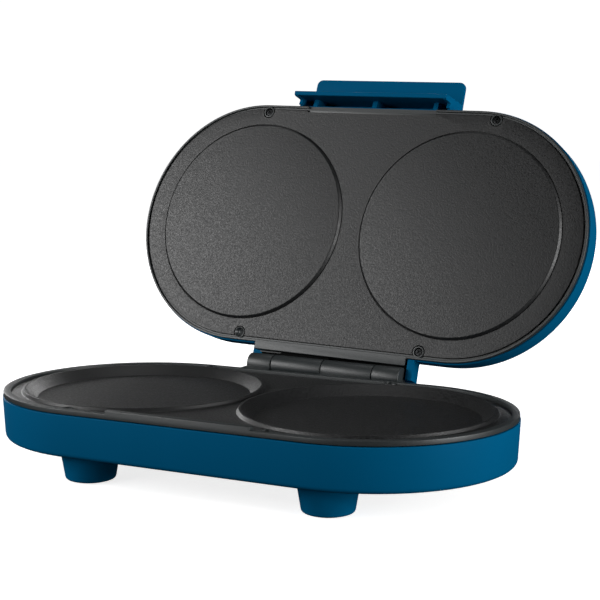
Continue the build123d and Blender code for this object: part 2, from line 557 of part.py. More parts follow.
def cord_clamp():
    """Bridge on two feet that presses the cord on the base's floor, with its two screws."""
    top = GLAND_Z + CORD_R + 2.0
    bridge = block(GLAND_X - 11, GLAND_X + 11, CLAMP_Y - 3, CLAMP_Y + 3, BASE_FLOOR, top)
    half = CORD_R + 0.2
    bridge -= block(GLAND_X - half, GLAND_X + half, CLAMP_Y - 4, CLAMP_Y + 4, BASE_FLOOR - 1, GLAND_Z + CORD_R)
    places = [(GLAND_X + side * 7.5, CLAMP_Y) for side in SIDES]
    for x, y in places:
        bridge -= pilot(x, y, BASE_FLOOR - 1, top + 1)
    return [bridge] + screws_at(places, top + HEAD_HEIGHT, top + HEAD_HEIGHT - BASE_FLOOR - 0.5)


def lead(points, radius):
    """One inner wire through a list of points, with tangent arcs at its corners."""
    path = FilletPolyline(*points, radius=radius)
    return sweep(Plane(origin=path @ 0, z_dir=path % 0) * Circle(LEAD_R), path=path)


def base_leads():
    """Wires from the terminal block to the rings, the thermostat and the fuse."""
    x, y = BLOCK_AT
    third = BLOCK[0] / 3
    front = y - BLOCK[1] / 2
    z = BASE_FLOOR + 4
    pin_x = PIN_END_X - LEAD_R
    pin_y = PIN_END_Y + 3
    ring = BASE_RING_Z
    blade = (-4, THERMOSTAT_Y, BASE_FLANGE_LOW - BLADE_REACH)
    routes = [
        [(x + third, front, z), (x + third, 44, z), (-4, 30, z), (-4, THERMOSTAT_Y, z), blade],
        [(x, front, z), (x, 48, z), (5, 34, z), (5, 18, ring), (pin_x, pin_y, ring)],
        [(x - third, front, z), (x - third, 46, z), (-10, 34, z), (-10, 20, ring), (-pin_x, pin_y, ring)],
    ]
    return [lead(route, 2.5) for route in routes]


def lid_leads():
    """Wires between the rings and the lamp board in the lid."""
    z = LID_RING_Z
    routes = []
    for side in SIDES:
        x = side * (PIN_END_X - LEAD_R)
        end = (side * 9, LIGHT_Y + 6, BOARD_Z + BOARD_THICK / 2)
        turn = (side * 9, -34, BOARD_Z + BOARD_THICK / 2)
        routes.append([(x, -PIN_END_Y - 3, z), (side * 9, -24, z), turn, end])
    return [lead(route, 3.0) for route in routes]


def foot_pads():
    """Rubber pads let into the feet."""
    return [post(sx * FOOT_X, sy * FOOT_Y, PAD_R, GROUND_Z, GROUND_Z + 1.9) for sx, sy in CORNERS]


def base_nodes():
    """Pieces that stay on the table, by name."""
    return {
        "base_shell": base_shell(),
        "foot_pads": foot_pads(),
        "base_bezel": base_bezel(),
        "base_plate": base_plate(),
        "base_case_screws": screws_at(BASE_SCREW_POINTS, BASE_PLATE_Z, 18.0),
        "base_plate_screws": screws_at(PLATE_SCREW_POINTS, BASE_TAB_HEAD, 7.0, upwards=True),
        "base_heater": heater(BASE_RING_Z),
        "base_heater_clips": heater_clips(POCKET_UNDER, -1),
        "base_heat_shield": heat_shield(BASE_SHIELD_Z, -1),
        "base_shield_screws": screws_at(SHIELD_POINTS, BASE_SHIELD_HEAD, 6.0),
        "thermostat": thermostat(),
        "thermal_fuse": thermal_fuse(),
        "terminal_block": terminal_block(),
        "cord_gland": cord_gland(),
        "cord_clamp": cord_clamp(),
        "base_leads": base_leads(),
        "hinge_pin": HINGE * bar(PIN_R, BASE_KNUCKLES[0][0] + 3.0, CHEEK[1] - 2.5),
    }


def lid_nodes():
    """Pieces that swing with the lid, by name, in the closed place."""
    return {
        "lid_shell": lid_shell(),
        "lid_bezel": lid_bezel(),
        "lid_plate": lid_plate(),
        "lid_case_screws": screws_at(LID_SCREW_POINTS, LID_PLATE_Z + SCREW_SINK, 14.0, upwards=True),
        "lid_plate_screws": screws_at(PLATE_SCREW_POINTS, LID_TAB_HEAD, 7.0),
        "lid_heater": heater(LID_RING_Z),
        "lid_heater_clips": heater_clips(LID_DISC_BACK, 1),
        "lid_heat_shield": heat_shield(LID_SHIELD_Z, 1),
        "lid_shield_screws": screws_at(SHIELD_POINTS, LID_SHIELD_HEAD, 6.0, upwards=True),
        "power_lens": lens(-1),
        "ready_lens": lens(1),
        "lamp_board": lamp_board(),
        "lid_leads": lid_leads(),
    }


def as_solids(piece):
    """List of the separate solids of a piece or a group of pieces."""
    pieces = piece if isinstance(piece, list) else [piece]
    return [solid for item in pieces for solid in item.solids()]


def main():
    """Open the lid, move everything to the ground and write one STEP file per node."""
    hinge = Axis(HINGE.position, HINGE_DIR)
    nodes = {name: as_solids(piece) for name, piece in base_nodes().items()}
    for name, piece in lid_nodes().items():
        nodes[name] = [solid.rotate(hinge, -HINGE_TURN) for solid in as_solids(piece)]
    box = Compound(children=[solid for solids in nodes.values() for solid in solids]).bounding_box()
    shift = Pos(-(box.min.X + box.max.X) / 2, -(box.min.Y + box.max.Y) / 2, -box.min.Z)
    os.makedirs("parts", exist_ok=True)
    for name, solids in nodes.items():
        placed = [shift * solid for solid in solids]
        export_step(Compound(label=name, children=placed), f"parts/{name}.step")
    print("shift", [round(value, 4) for value in shift.position])
    print("size", [round(value, 3) for value in box.size])
    print("hinge point", [round(value, 4) for value in (shift * HINGE).position])
    print("hinge direction", [round(value, 6) for value in HINGE_DIR], "turn", round(HINGE_TURN, 3))


main()
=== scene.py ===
"""Twin pancake maker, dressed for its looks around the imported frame.

Each sub-assembly is modelled in millimetres with the lid closed: X runs to the right, Y from the middle of
the base to the hinge, and Z up from the plane where the two rims meet. A finished mesh is then moved into
the row's frame, and the lid's meshes are opened about the hinge as the frame's joint says.
"""
import json
import logging
import math
from dataclasses import dataclass
from enum import Enum
import bpy
from mathutils import Matrix, Vector


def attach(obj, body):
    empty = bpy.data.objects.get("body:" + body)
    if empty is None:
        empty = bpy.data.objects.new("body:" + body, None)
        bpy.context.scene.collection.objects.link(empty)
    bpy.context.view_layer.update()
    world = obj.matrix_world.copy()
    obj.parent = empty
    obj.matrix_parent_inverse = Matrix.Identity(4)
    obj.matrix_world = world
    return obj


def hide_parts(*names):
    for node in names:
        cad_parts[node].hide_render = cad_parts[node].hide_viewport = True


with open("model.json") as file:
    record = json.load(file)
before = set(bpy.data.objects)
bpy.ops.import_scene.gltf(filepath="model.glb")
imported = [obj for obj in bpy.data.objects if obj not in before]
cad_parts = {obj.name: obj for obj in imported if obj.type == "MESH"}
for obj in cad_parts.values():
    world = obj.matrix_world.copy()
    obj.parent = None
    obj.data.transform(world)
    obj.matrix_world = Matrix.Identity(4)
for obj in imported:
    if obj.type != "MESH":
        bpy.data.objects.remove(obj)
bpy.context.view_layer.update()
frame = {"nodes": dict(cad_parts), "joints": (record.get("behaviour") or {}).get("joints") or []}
LOG = logging.getLogger("pancake_maker")

MM = 0.001
MERGE = 1e-6              # metres within which two points are one
ARC_X = 73.3              # half the distance between the centres of the racetrack's two end arcs
POCKET_X = 71.4           # middle of each pancake
HINGE_AT = Vector((0.0, 90.5, 0.65))                                      # middle of the hinge's pin
HINGE_QUARTER = (Vector((-99.0, 0.0, -2.0)), Vector((99.0, 20.0, 20.0)))  # block up and back of the pin
BORE_HALF = 60.0          # half the length of a bore that passes both ends of a hinge tube
OVERLAP = 0.01            # by which a solid passes the middle of the one that it is joined to
PAST = 1.0                # by which a cutter passes what it cuts
WEB_SETBACK = 0.15        # of a web from the ends of its knuckle
END_STEPS = 64            # faces round each end arc
ROUND_STEPS = 96          # faces round a turned piece
ROD_STEPS = 48            # faces round a rod along X
CORNER_STEPS = 5          # faces round a rounded corner
SMOOTH_ANGLE = math.radians(32)   # edges up to this angle are shaded smooth
BEVEL_ANGLE = math.radians(40)    # edges from this angle on are rounded
SIDES = (-1, 1)

Corner = tuple[float, float, float]       # two coordinates and the radius of the corner between its edges
Point = tuple[float, float]
Span = tuple[float, float]                # low and high end
Colour = tuple[float, float, float, float]


class Joining(Enum):
    """How one solid is combined with another."""

    ADD = "UNION"
    CUT = "DIFFERENCE"
    KEEP = "INTERSECT"


class Layout:
    """Where the closed layout and the hinge lie in the row's frame."""

    def __init__(self, joint: dict) -> None:
        """Works the places out.

        Args:
            joint: the lid's joint, as the frame gives it.
        """
        point = Vector(joint["pos_m"])
        axis = Vector(joint["axis"]).normalized()
        swing = Matrix.Rotation(-math.radians(joint["range_deg"][1]), 4, axis)
        self.base = Matrix.Translation(point - HINGE_AT * MM)
        self.lid = Matrix.Translation(point) @ swing @ Matrix.Translation(-point) @ self.base
        up = (Vector((0, 0, 1)) - axis * axis.z).normalized()
        turn = Matrix((axis, up.cross(axis), up)).transposed().to_4x4()
        self.hinge = Matrix.Translation(HINGE_AT * MM) @ turn


LAYOUT = Layout(frame["joints"][0])


def on_rail(x: float, side: int, rail: float) -> Point:
    """Finds the point at x on a racetrack.

    Args:
        x: place along the length.
        side: -1 for the front and 1 for the back.
        rail: distance of the racetrack from its spine.

    Returns:
        The point's x and y.
    """
    past_arc = max(abs(x) - ARC_X, 0.0)
    return (x, side * math.sqrt(rail**2 - past_arc**2))


def rounded(corners: list[Corner], closed: bool) -> list[Point]:
    """Turns corners with radii into a chain of points.

    Args:
        corners: the corners in order.
        closed: whether the last corner is joined to the first.

    Returns:
        The points, with an arc at each corner that has a radius.
    """
    chain = []
    for index, (a, b, radius) in enumerate(corners):
        inner_corner = closed or 0 < index < len(corners) - 1
        if radius == 0 or not inner_corner:
            chain.append((a, b))
            continue
        here = Vector((a, b))
        back = (Vector(corners[index - 1][:2]) - here).normalized()
        ahead = (Vector(corners[(index + 1) % len(corners)][:2]) - here).normalized()
        half = back.angle(ahead) / 2
        centre = here + (back + ahead).normalized() * (radius / math.sin(half))
        start = here + back * (radius / math.tan(half)) - centre
        sweep = start.angle_signed(here + ahead * (radius / math.tan(half)) - centre)
        for step in range(CORNER_STEPS + 1):
            turn = Matrix.Rotation(-sweep * step / CORNER_STEPS, 2)
            point = centre + turn @ start
            chain.append((point.x, point.y))
    return chain


def clear() -> None:
    """Leaves edit mode and deselects everything."""
    if bpy.context.mode != "OBJECT":
        bpy.ops.object.mode_set(mode="OBJECT")
    bpy.ops.object.select_all(action="DESELECT")


def pick(piece: bpy.types.Object) -> None:
    """Makes a piece the only selected one and the active one.

    Args:
        piece: the object.
    """
    clear()
    piece.select_set(True)
    bpy.context.view_layer.objects.active = piece


def draw(points: list[Vector], closed: bool) -> None:
    """Draws a chain of edges in a new object, which stays in edit mode with the chain selected.

    Args:
        points: the chain's points in millimetres.
        closed: whether the last point is joined to the first.
    """
    clear()
    bpy.ops.mesh.primitive_plane_add(size=MM, enter_editmode=True)
    bpy.ops.mesh.merge(type="CENTER")
    bpy.ops.transform.translate(value=points[0] * MM)
    ends = points[1:] + points[:1] if closed else points[1:]
    for start, end in zip(points, ends):
        bpy.ops.mesh.extrude_vertices_move(TRANSFORM_OT_translate={"value": (end - start) * MM})
    bpy.ops.mesh.select_all(action="SELECT")
    bpy.ops.mesh.remove_doubles(threshold=MERGE)


def close(name: str) -> bpy.types.Object:
    """Merges the doubles of the mesh in edit mode and points its faces outwards.

    Args:
        name: the new object's name.

    Returns:
        The object, out of edit mode.
    """
    bpy.ops.mesh.select_all(action="SELECT")
    bpy.ops.mesh.remove_doubles(threshold=MERGE)
    bpy.ops.mesh.normals_make_consistent(inside=False)
    bpy.ops.object.mode_set(mode="OBJECT")
    piece = bpy.context.object
    piece.name = name
    piece.data.name = name
    return piece


def bevel(piece: bpy.types.Object, width: float, segments: int = 3) -> bpy.types.Object:
    """Rounds a piece's sharp edges.

    Args:
        piece: the object.
        width: width of the rounding in millimetres.
        segments: faces across the rounding.

    Returns:
        The same object.
    """
    modifier = piece.modifiers.new("edges", "BEVEL")
    modifier.width = width * MM
    modifier.segments = segments
    modifier.limit_method = "ANGLE"
    modifier.angle_limit = BEVEL_ANGLE
    return apply_modifiers(piece)


def apply_modifiers(piece: bpy.types.Object) -> bpy.types.Object:
    """Applies every modifier of a piece.

    Args:
        piece: the object.

    Returns:
        The same object.
    """
    pick(piece)
    for modifier in list(piece.modifiers):
        bpy.ops.object.modifier_apply(modifier=modifier.name)
    return piece


def combine(piece: bpy.types.Object, others: list[bpy.types.Object], how: Joining) -> bpy.types.Object:
    """Combines a piece with other solids, which are used up.

    Args:
        piece: the object that stays.
        others: the solids to add to it, to cut from it or to keep it within.
        how: the way of joining.

    Returns:
        The same object.
    """
    for other in others:
        modifier = piece.modifiers.new("solid", "BOOLEAN")
        modifier.operation = how.value
        modifier.solver = "EXACT"
        modifier.object = other
        apply_modifiers(piece)
        bpy.data.objects.remove(other)
    return piece


def racetrack(name: str, corners: list[Corner], closed: bool = False) -> bpy.types.Object:
    """Sweeps a section round the racetrack.

    Args:
        name: the object's name.
        corners: (distance from the spine, height, radius) of each corner of the section.
        closed: True for a ring, False for a section that starts and ends on the spine.

    Returns:
        The swept solid.
    """
    points = [Vector((ARC_X, -out, height)) for out, height in rounded(corners, closed)]
    draw(points, closed)
    for side in (1, -1):
        centre = (side * ARC_X * MM, 0, 0)
        bpy.ops.mesh.spin(steps=END_STEPS, angle=-math.pi, center=centre, axis=(0, 0, 1))
        straight = (-2 * side * ARC_X * MM, 0, 0)
        bpy.ops.mesh.extrude_region_move(TRANSFORM_OT_translate={"value": straight})
    return close(name)


def turned(name: str, corners: list[Corner], at: Point, closed: bool = False) -> bpy.types.Object:
    """Turns a section about an upright axis.

    Args:
        name: the object's name.
        corners: (radius, height, radius of the corner) of each corner of the section.
        at: the axis's x and y.
        closed: True for a ring, False for a section that starts and ends on the axis.

    Returns:
        The turned solid.
    """
    points = [Vector((at[0], at[1] - out, height)) for out, height in rounded(corners, closed)]
    draw(points, closed)
    centre = (at[0] * MM, at[1] * MM, 0)
    bpy.ops.mesh.spin(steps=ROUND_STEPS, angle=2 * math.pi, center=centre, axis=(0, 0, 1))
    return close(name)


def drum(name: str, at: Point, radius: float, start: float, end: float) -> bpy.types.Object:
    """Makes an upright cylinder.

    Args:
        name: the object's name.
        at: its axis's x and y.
        radius: its radius.
        start: height of its first end.
        end: height of its other end.

    Returns:
        The solid.
    """
    return turned(name, [(0, start, 0), (radius, start, 0), (radius, end, 0), (0, end, 0)], at)


def prism(name: str, points: list[Vector], reach: Vector) -> bpy.types.Object:
    """Extrudes a flat outline.

    Args:
        name: the object's name.
        points: the outline's points.
        reach: how far and which way it is extruded.

    Returns:
        The solid.
    """
    draw(points, closed=True)
    bpy.ops.mesh.edge_face_add()
    bpy.ops.mesh.extrude_region_move(TRANSFORM_OT_translate={"value": reach * MM})
    return close(name)


def side_prism(name: str, outline: list[Corner], x_low: float, x_high: float) -> bpy.types.Object:
    """Extrudes a side view along X.

    Args:
        name: the object's name.
        outline: (y, z, radius) of each corner.
        x_low: where it starts.
        x_high: where it ends.

    Returns:
        The solid.
    """
    points = [Vector((x_low, y, z)) for y, z in rounded(outline, closed=True)]
    return prism(name, points, Vector((x_high - x_low, 0, 0)))


def brick(name: str, low: Vector, high: Vector) -> bpy.types.Object:
    """Makes a block between two corners.

    Args:
        name: the object's name.
        low: its lowest corner.
        high: its highest corner.

    Returns:
        The solid.
    """
    outline = [(low.y, low.z, 0), (high.y, low.z, 0), (high.y, high.z, 0), (low.y, high.z, 0)]
    return side_prism(name, outline, low.x, high.x)


def rod(name: str, radius: float, x_low: float, x_high: float, edge: float = 0.0) -> bpy.types.Object:
    """Makes a cylinder along X on the axis y = 0, z = 0.

    Args:
        name: the object's name.
        radius: its radius.
        x_low: where it starts.
        x_high: where it ends.
        edge: width of the rounding of its two edges.

    Returns:
        The solid.
    """
    clear()
    middle = Vector(((x_low + x_high) / 2, 0, 0)) * MM
    bpy.ops.mesh.primitive_cylinder_add(
        vertices=ROD_STEPS, radius=radius * MM, depth=(x_high - x_low) * MM, location=middle,
        rotation=(0, math.pi / 2, 0),
    )
    piece = bpy.context.object
    piece.name = name
    place(piece, Matrix.Identity(4))
    return bevel(piece, edge) if edge else piece


def hinge_tube(
    name: str, radii: Span, ends: Span, front: float, ribs: list[bpy.types.Object]
) -> bpy.types.Object:
    """Makes a quarter tube up and back of the pin, with a flat strip forward, in the hinge's own frame.

    Args:
        name: the object's name.
        radii: its inner and its outer radius.
        ends: where it starts and ends along X.
        front: where the strip starts along Y.
        ribs: solids that are added before the tube is bored.

    Returns:
        The solid.
    """
    inner, outer = radii
    tube = rod(name, outer, *ends)
    combine(tube, [brick("quarter", *HINGE_QUARTER)], Joining.KEEP)
    strip = brick("strip", Vector((ends[0], front, inner)), Vector((ends[1], OVERLAP, outer)))
    combine(tube, [strip, *ribs], Joining.ADD)
    return combine(tube, [rod("bore", inner, -BORE_HALF, BORE_HALF)], Joining.CUT)


def place(piece: bpy.types.Object, where: Matrix) -> bpy.types.Object:
    """Moves a piece, with the move kept in its mesh.

    Args:
        piece: the object.
        where: the move, in the world's frame.

    Returns:
        The same object, at the origin, unturned and unscaled.
    """
    pick(piece)
    piece.matrix_world = where @ piece.matrix_world
    bpy.ops.object.transform_apply(location=True, rotation=True, scale=True)
    return piece


def copy_to(piece: bpy.types.Object, where: Matrix, name: str) -> bpy.types.Object:
    """Copies a piece with a mesh of its own.

    Args:
        piece: the object to copy.
        where: the copy's move.
        name: the copy's name.

    Returns:
        The copy.
    """
    pick(piece)
    bpy.ops.object.duplicate(linked=False)
    twin = bpy.context.object
    twin.name = name
    twin.data.name = name
    return place(twin, where)


def smooth(piece: bpy.types.Object) -> None:
    """Shades a piece smoothly, except across its sharp edges.

    Args:
        piece: the object.
    """
    pick(piece)
    bpy.ops.object.shade_smooth_by_angle(angle=SMOOTH_ANGLE)


def linear(colour: str) -> Colour:
    """Turns an sRGB hex colour into linear values.

    Args:
        colour: a hash sign and six hex digits.

    Returns:
        The linear red, green and blue, and a full alpha.
    """
    values = [int(colour[start:start + 2], 16) / 255 for start in (1, 3, 5)]
    turned_linear = [v / 12.92 if v <= 0.04045 else ((v + 0.055) / 1.055) ** 2.4 for v in values]
    return (*turned_linear, 1.0)


def add_node(tree: bpy.types.NodeTree, kind: str, settings: dict, inputs: dict) -> bpy.types.Node:
    """Adds a node with its settings and links.

    Args:
        tree: the node tree.
        kind: the node's type.
        settings: value of each of the node's own properties.
        inputs: value of each input, or the output socket that it is linked to.

    Returns:
        The node.
    """
    node = tree.nodes.new(kind)
    for key, value in settings.items():
        setattr(node, key, value)
    for key, value in inputs.items():
        if isinstance(value, bpy.types.NodeSocket):
            tree.links.new(value, node.inputs[key])
        else:
            node.inputs[key].default_value = value
    return node


@dataclass(frozen=True)
class Finish:
    """A surface: one colour that drifts to a second one, and a fine grain in colour, gloss and relief."""

    name: str
    colour: str
    drift: str                # colour of the broad, faint patches
    roughness: float
    grain: float              # size of the grain in millimetres
    relief: float             # height of the grain in millimetres
    ior: float = 1.5
    metallic: float = 0.0
    speckle: float = 0.0      # how much darker the grain's hollows are, from 0 to 1
    gloss_spread: float = 0.04
    patch: float = 30.0       # size of the broad patches in millimetres
    clearness: float = 0.0    # share of light that passes through
    glint: float = 0.5        # strength of reflections straight on
    tint: str = "#FFFFFF"     # colour of those reflections

    def material(self) -> bpy.types.Material:
        """Makes the material at its first use, and finds it again after that.

        Returns:
            The shared material.
        """
        known = bpy.data.materials.get(self.name)
        if known:
            return known
        made = bpy.data.materials.new(self.name)
        made.use_nodes = True
        self.build(made.node_tree)
        return made

    def build(self, tree: bpy.types.NodeTree) -> None:
        """Links the finish's nodes.

        Args:
            tree: the material's node tree, as Blender starts it.
        """
        shader = tree.nodes["Principled BSDF"]
        place_of = add_node(tree, "ShaderNodeTexCoord", {}, {}).outputs["Object"]
        grain = add_node(tree, "ShaderNodeTexNoise", {}, {
            "Vector": place_of, "Scale": 1 / (self.grain * MM), "Detail": 2.0, "Roughness": 0.6,
        }).outputs["Fac"]
        patches = add_node(tree, "ShaderNodeTexNoise", {}, {
            "Vector": place_of, "Scale": 1 / (self.patch * MM), "Detail": 1.0,
        }).outputs["Fac"]
        base = add_node(tree, "ShaderNodeMix", {"data_type": "RGBA"}, {
            0: patches, 6: linear(self.colour), 7: linear(self.drift),
        }).outputs[2]
        hollow = add_node(tree, "ShaderNodeMapRange", {}, {
            "Value": grain, "From Min": 0.35, "From Max": 0.65, "To Min": 1 - self.speckle, "To Max": 1.0,
        }).outputs[0]
        tinted = add_node(tree, "ShaderNodeMix", {"data_type": "RGBA", "blend_type": "MULTIPLY"}, {
            0: 1.0, 6: base, 7: hollow,
        }).outputs[2]
        gloss = add_node(tree, "ShaderNodeMapRange", {}, {
            "Value": grain, "From Min": 0.3, "From Max": 0.7,
            "To Min": self.roughness - self.gloss_spread, "To Max": self.roughness + self.gloss_spread,
        }).outputs[0]
        bump = add_node(tree, "ShaderNodeBump", {}, {
            "Height": grain, "Distance": self.relief * MM, "Strength": 1.0,
        }).outputs["Normal"]
        tree.links.new(tinted, shader.inputs["Base Color"])
        tree.links.new(gloss, shader.inputs["Roughness"])
        tree.links.new(bump, shader.inputs["Normal"])
        shader.inputs["IOR"].default_value = self.ior
        shader.inputs["Metallic"].default_value = self.metallic
        shader.inputs["Transmission Weight"].default_value = self.clearness
        shader.inputs["Specular IOR Level"].default_value = self.glint
        shader.inputs["Specular Tint"].default_value = linear(self.tint)


# The coat's orange peel has its real size. Every other grain is finer than a pixel of the render on the real
# surface, and is drawn coarser, at 0.3 to 0.8 mm, so that it shows.

# Injection-moulded ABS in petrol blue, lightly spark-eroded: a silky sheen with soft highlights
BLUE_ABS = Finish("petrol_blue_abs", "#005A84", "#00577F", roughness=0.5, grain=0.5, relief=0.006, ior=1.5,
                  glint=0.12, tint="#2F9AD0")
# Glass-filled PBT, dark grey and heat-proof: a dry, even surface with a fine grain
DARK_PBT = Finish("dark_pbt", "#2E3334", "#2B3031", roughness=0.45, grain=0.8, relief=0.015, ior=1.57,
                  speckle=0.2, glint=0.55)
# The same plastic deep in the hinge's gap, drawn nearly black: painted shade standing for that gap's deep
# shadow
PAINTED_SHADE_PBT = Finish("dark_pbt_painted_shade", "#070808", "#050606", roughness=0.8, grain=0.8, relief=0.02, ior=1.57,
                 glint=0.1)
# Fluoropolymer non-stick coat sprayed on cast aluminium: charcoal with an orange-peel speckle
NON_STICK = Finish("non_stick_coat", "#1F2021", "#1D1E1F", roughness=0.48, grain=1.0, relief=0.12, ior=1.42,
                   speckle=0.6, gloss_spread=0.12, glint=0.75)
# Steel screws, phosphated black and lightly oiled
BLACK_STEEL = Finish("phosphated_steel", "#2A2B2C", "#232425", roughness=0.38, grain=0.4, relief=0.006,
                     metallic=0.9)
# Zinc-plated mild steel of clips, pins and inner screws
ZINC_STEEL = Finish("zinc_plated_steel", "#B4B6B7", "#A9ABAE", roughness=0.32, grain=0.5, relief=0.004,
                    metallic=1.0, speckle=0.08)
# Rolled aluminium sheet of the heat shields: bright and a little cloudy
SHEET_ALUMINIUM = Finish("aluminium_sheet", "#D5D6D7", "#CBCCCE", roughness=0.28, grain=0.8, relief=0.003,
                         metallic=1.0, speckle=0.05)
# Annealed sheath of the heating element: dull olive grey from its heat treatment
ELEMENT_SHEATH = Finish("annealed_sheath", "#6E6C5E", "#5E5C52", roughness=0.48, grain=0.6, relief=0.006,
                        metallic=0.8, speckle=0.15)
# Nitrile rubber of the feet's pads and the cord's bush: black and matte
RUBBER = Finish("nitrile_rubber", "#1B1B1C", "#202021", roughness=0.75, grain=0.4, relief=0.01, ior=1.52,
                speckle=0.1)
# Braided silicone sleeve of the inner wires
SILICONE = Finish("silicone_sleeve", "#D9D6CB", "#CFCBBE", roughness=0.6, grain=0.3, relief=0.02, ior=1.43,
                  speckle=0.1)
# Polycarbonate lenses, clear and dyed: glossy, and part of the light passes through
RED_LENS = Finish("red_polycarbonate", "#C81A12", "#BE1610", roughness=0.12, grain=1.0, relief=0.001,
                  ior=1.58, clearness=0.6)
GREEN_LENS = Finish("green_polycarbonate", "#1FA544", "#1C9C3F", roughness=0.12, grain=1.0, relief=0.001,
                    ior=1.58, clearness=0.6)


def dress(piece: bpy.types.Object, finish: Finish) -> None:
    """Gives a piece one finish in all its material slots."""
    piece.data.materials.clear()
    piece.data.materials.append(finish.material())


def settle(piece: bpy.types.Object, node: str, body: str, finish: Finish) -> bpy.types.Object:
    """Names a piece, moves it into the row's frame, dresses it and ties it to its body.

    Args:
        piece: the object, in the closed layout.
        node: the CAD node that it stands for.
        body: the body that it rides on.
        finish: its finish.

    Returns:
        The same object.
    """
    piece.name = f"{node}_piece"
    piece.data.name = piece.name
    place(piece, LAYOUT.lid if body == "lid" else LAYOUT.base)
    smooth(piece)
    dress(piece, finish)
    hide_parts(node)
    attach(piece, body)
    return piece


@dataclass
class SubAssembly:
    """A piece that stands for one CAD node."""

    node: str
    body: str
    slot: str
    finish: Finish

    def build(self) -> bpy.types.Object:
        """Returns the piece's mesh in the closed layout."""
        raise NotImplementedError

    def install(self) -> bpy.types.Object:
        """Builds the piece, dresses it, places it and ties it to its body.

        Returns:
            The finished object.
        """
        piece = settle(self.build(), self.node, self.body, self.finish)
        LOG.info("%s: %d faces", piece.name, len(piece.data.polygons))
        return piece


@dataclass
class BaseShell(SubAssembly):
    """Blue tub of the base, with its four cone feet."""

    node: str = "base_shell"
    body: str = "base"
    slot: str = "blue_plastic"
    finish: Finish = BLUE_ABS
    rim: float = 79.4             # radius at the top edge
    top: float = -3.2
    bottom: float = -27.0
    draft: float = math.radians(3.2)
    wall: float = 2.8
    round: float = 3.0
    foot_x: float = 73.6
    foot_y: float = 50.7
    foot_top: float = 16.6        # radii of a foot
    foot_bottom: float = 13.8
    foot_end: float = -43.9
    foot_root: float = 1.0        # how far a foot reaches up into the floor
    pad_radius: float = 10.6
    pad_depth: float = 1.3
    vent_half: Vector = Vector((12.0, 1.5, 3.0))
    vent_x: float = 36.0
    vent_pitch: float = 9.0
    vent_rows: tuple[int, ...] = (-2, -1, 0, 1, 2)
    vent_edge: float = 1.2
    bush_x: float = -56.0
    bush_z: float = -16.9
    bush_radius: float = 4.9
    bush_reach: float = 10.0      # of the bush's hole, to each side of the wall

    def foot(self, x: float, y: float) -> bpy.types.Object:
        """Turns one foot, which flares into the floor and has the recess for its pad.

        Args:
            x: place of its axis along the length.
            y: place of its axis from front to back.

        Returns:
            The solid.
        """
        root = self.bottom + self.foot_root
        recess = self.foot_end + self.pad_depth
        return turned("foot", [
            (0, root, 0), (self.foot_top + 1.2, root, 0),
            (self.foot_top + 0.9, self.bottom, 0), (self.foot_top - 0.1, self.bottom - 0.9, 0.6),
            (self.foot_bottom, self.foot_end, 2.0), (self.pad_radius, self.foot_end, 0.2),
            (self.pad_radius, recess, 0), (0, recess, 0),
        ], (x, y))

    def vents(self) -> list[bpy.types.Object]:
        """Makes the two groups of slots in the floor.

        Returns:
            The slots' cutters.
        """
        cutters = []
        for side in SIDES:
            for row in self.vent_rows:
                middle = Vector((side * self.vent_x, row * self.vent_pitch, self.bottom))
                cutter = brick("vent", middle - self.vent_half, middle + self.vent_half)
                cutters.append(bevel(cutter, self.vent_edge))
        return cutters

    def build(self) -> bpy.types.Object:
        """Sweeps the tub, and gives it its feet, vents and the hole for the cord's bush.

        Returns:
            The solid.
        """
        slope = math.tan(self.draft)
        low = self.rim - (self.top - self.bottom) * slope
        floor = self.bottom + self.wall
        inner_low = self.rim - self.wall - (self.top - floor) * slope
        shell = racetrack(self.node, [
            (0, self.bottom, 0), (low, self.bottom, self.round), (self.rim, self.top, 0.5),
            (self.rim - self.wall, self.top, 0.3), (inner_low, floor, 1.5), (0, floor, 0),
        ])
        feet = [self.foot(sx * self.foot_x, sy * self.foot_y) for sx in SIDES for sy in SIDES]
        combine(shell, feet, Joining.ADD)
        bush = rod("bush_hole", self.bush_radius, -self.bush_reach, self.bush_reach)
        place(bush, Matrix.Rotation(math.pi / 2, 4, "Z"))
        place(bush, Matrix.Translation(Vector((self.bush_x, self.rim, self.bush_z)) * MM))
        return combine(shell, [*self.vents(), bush], Joining.CUT)


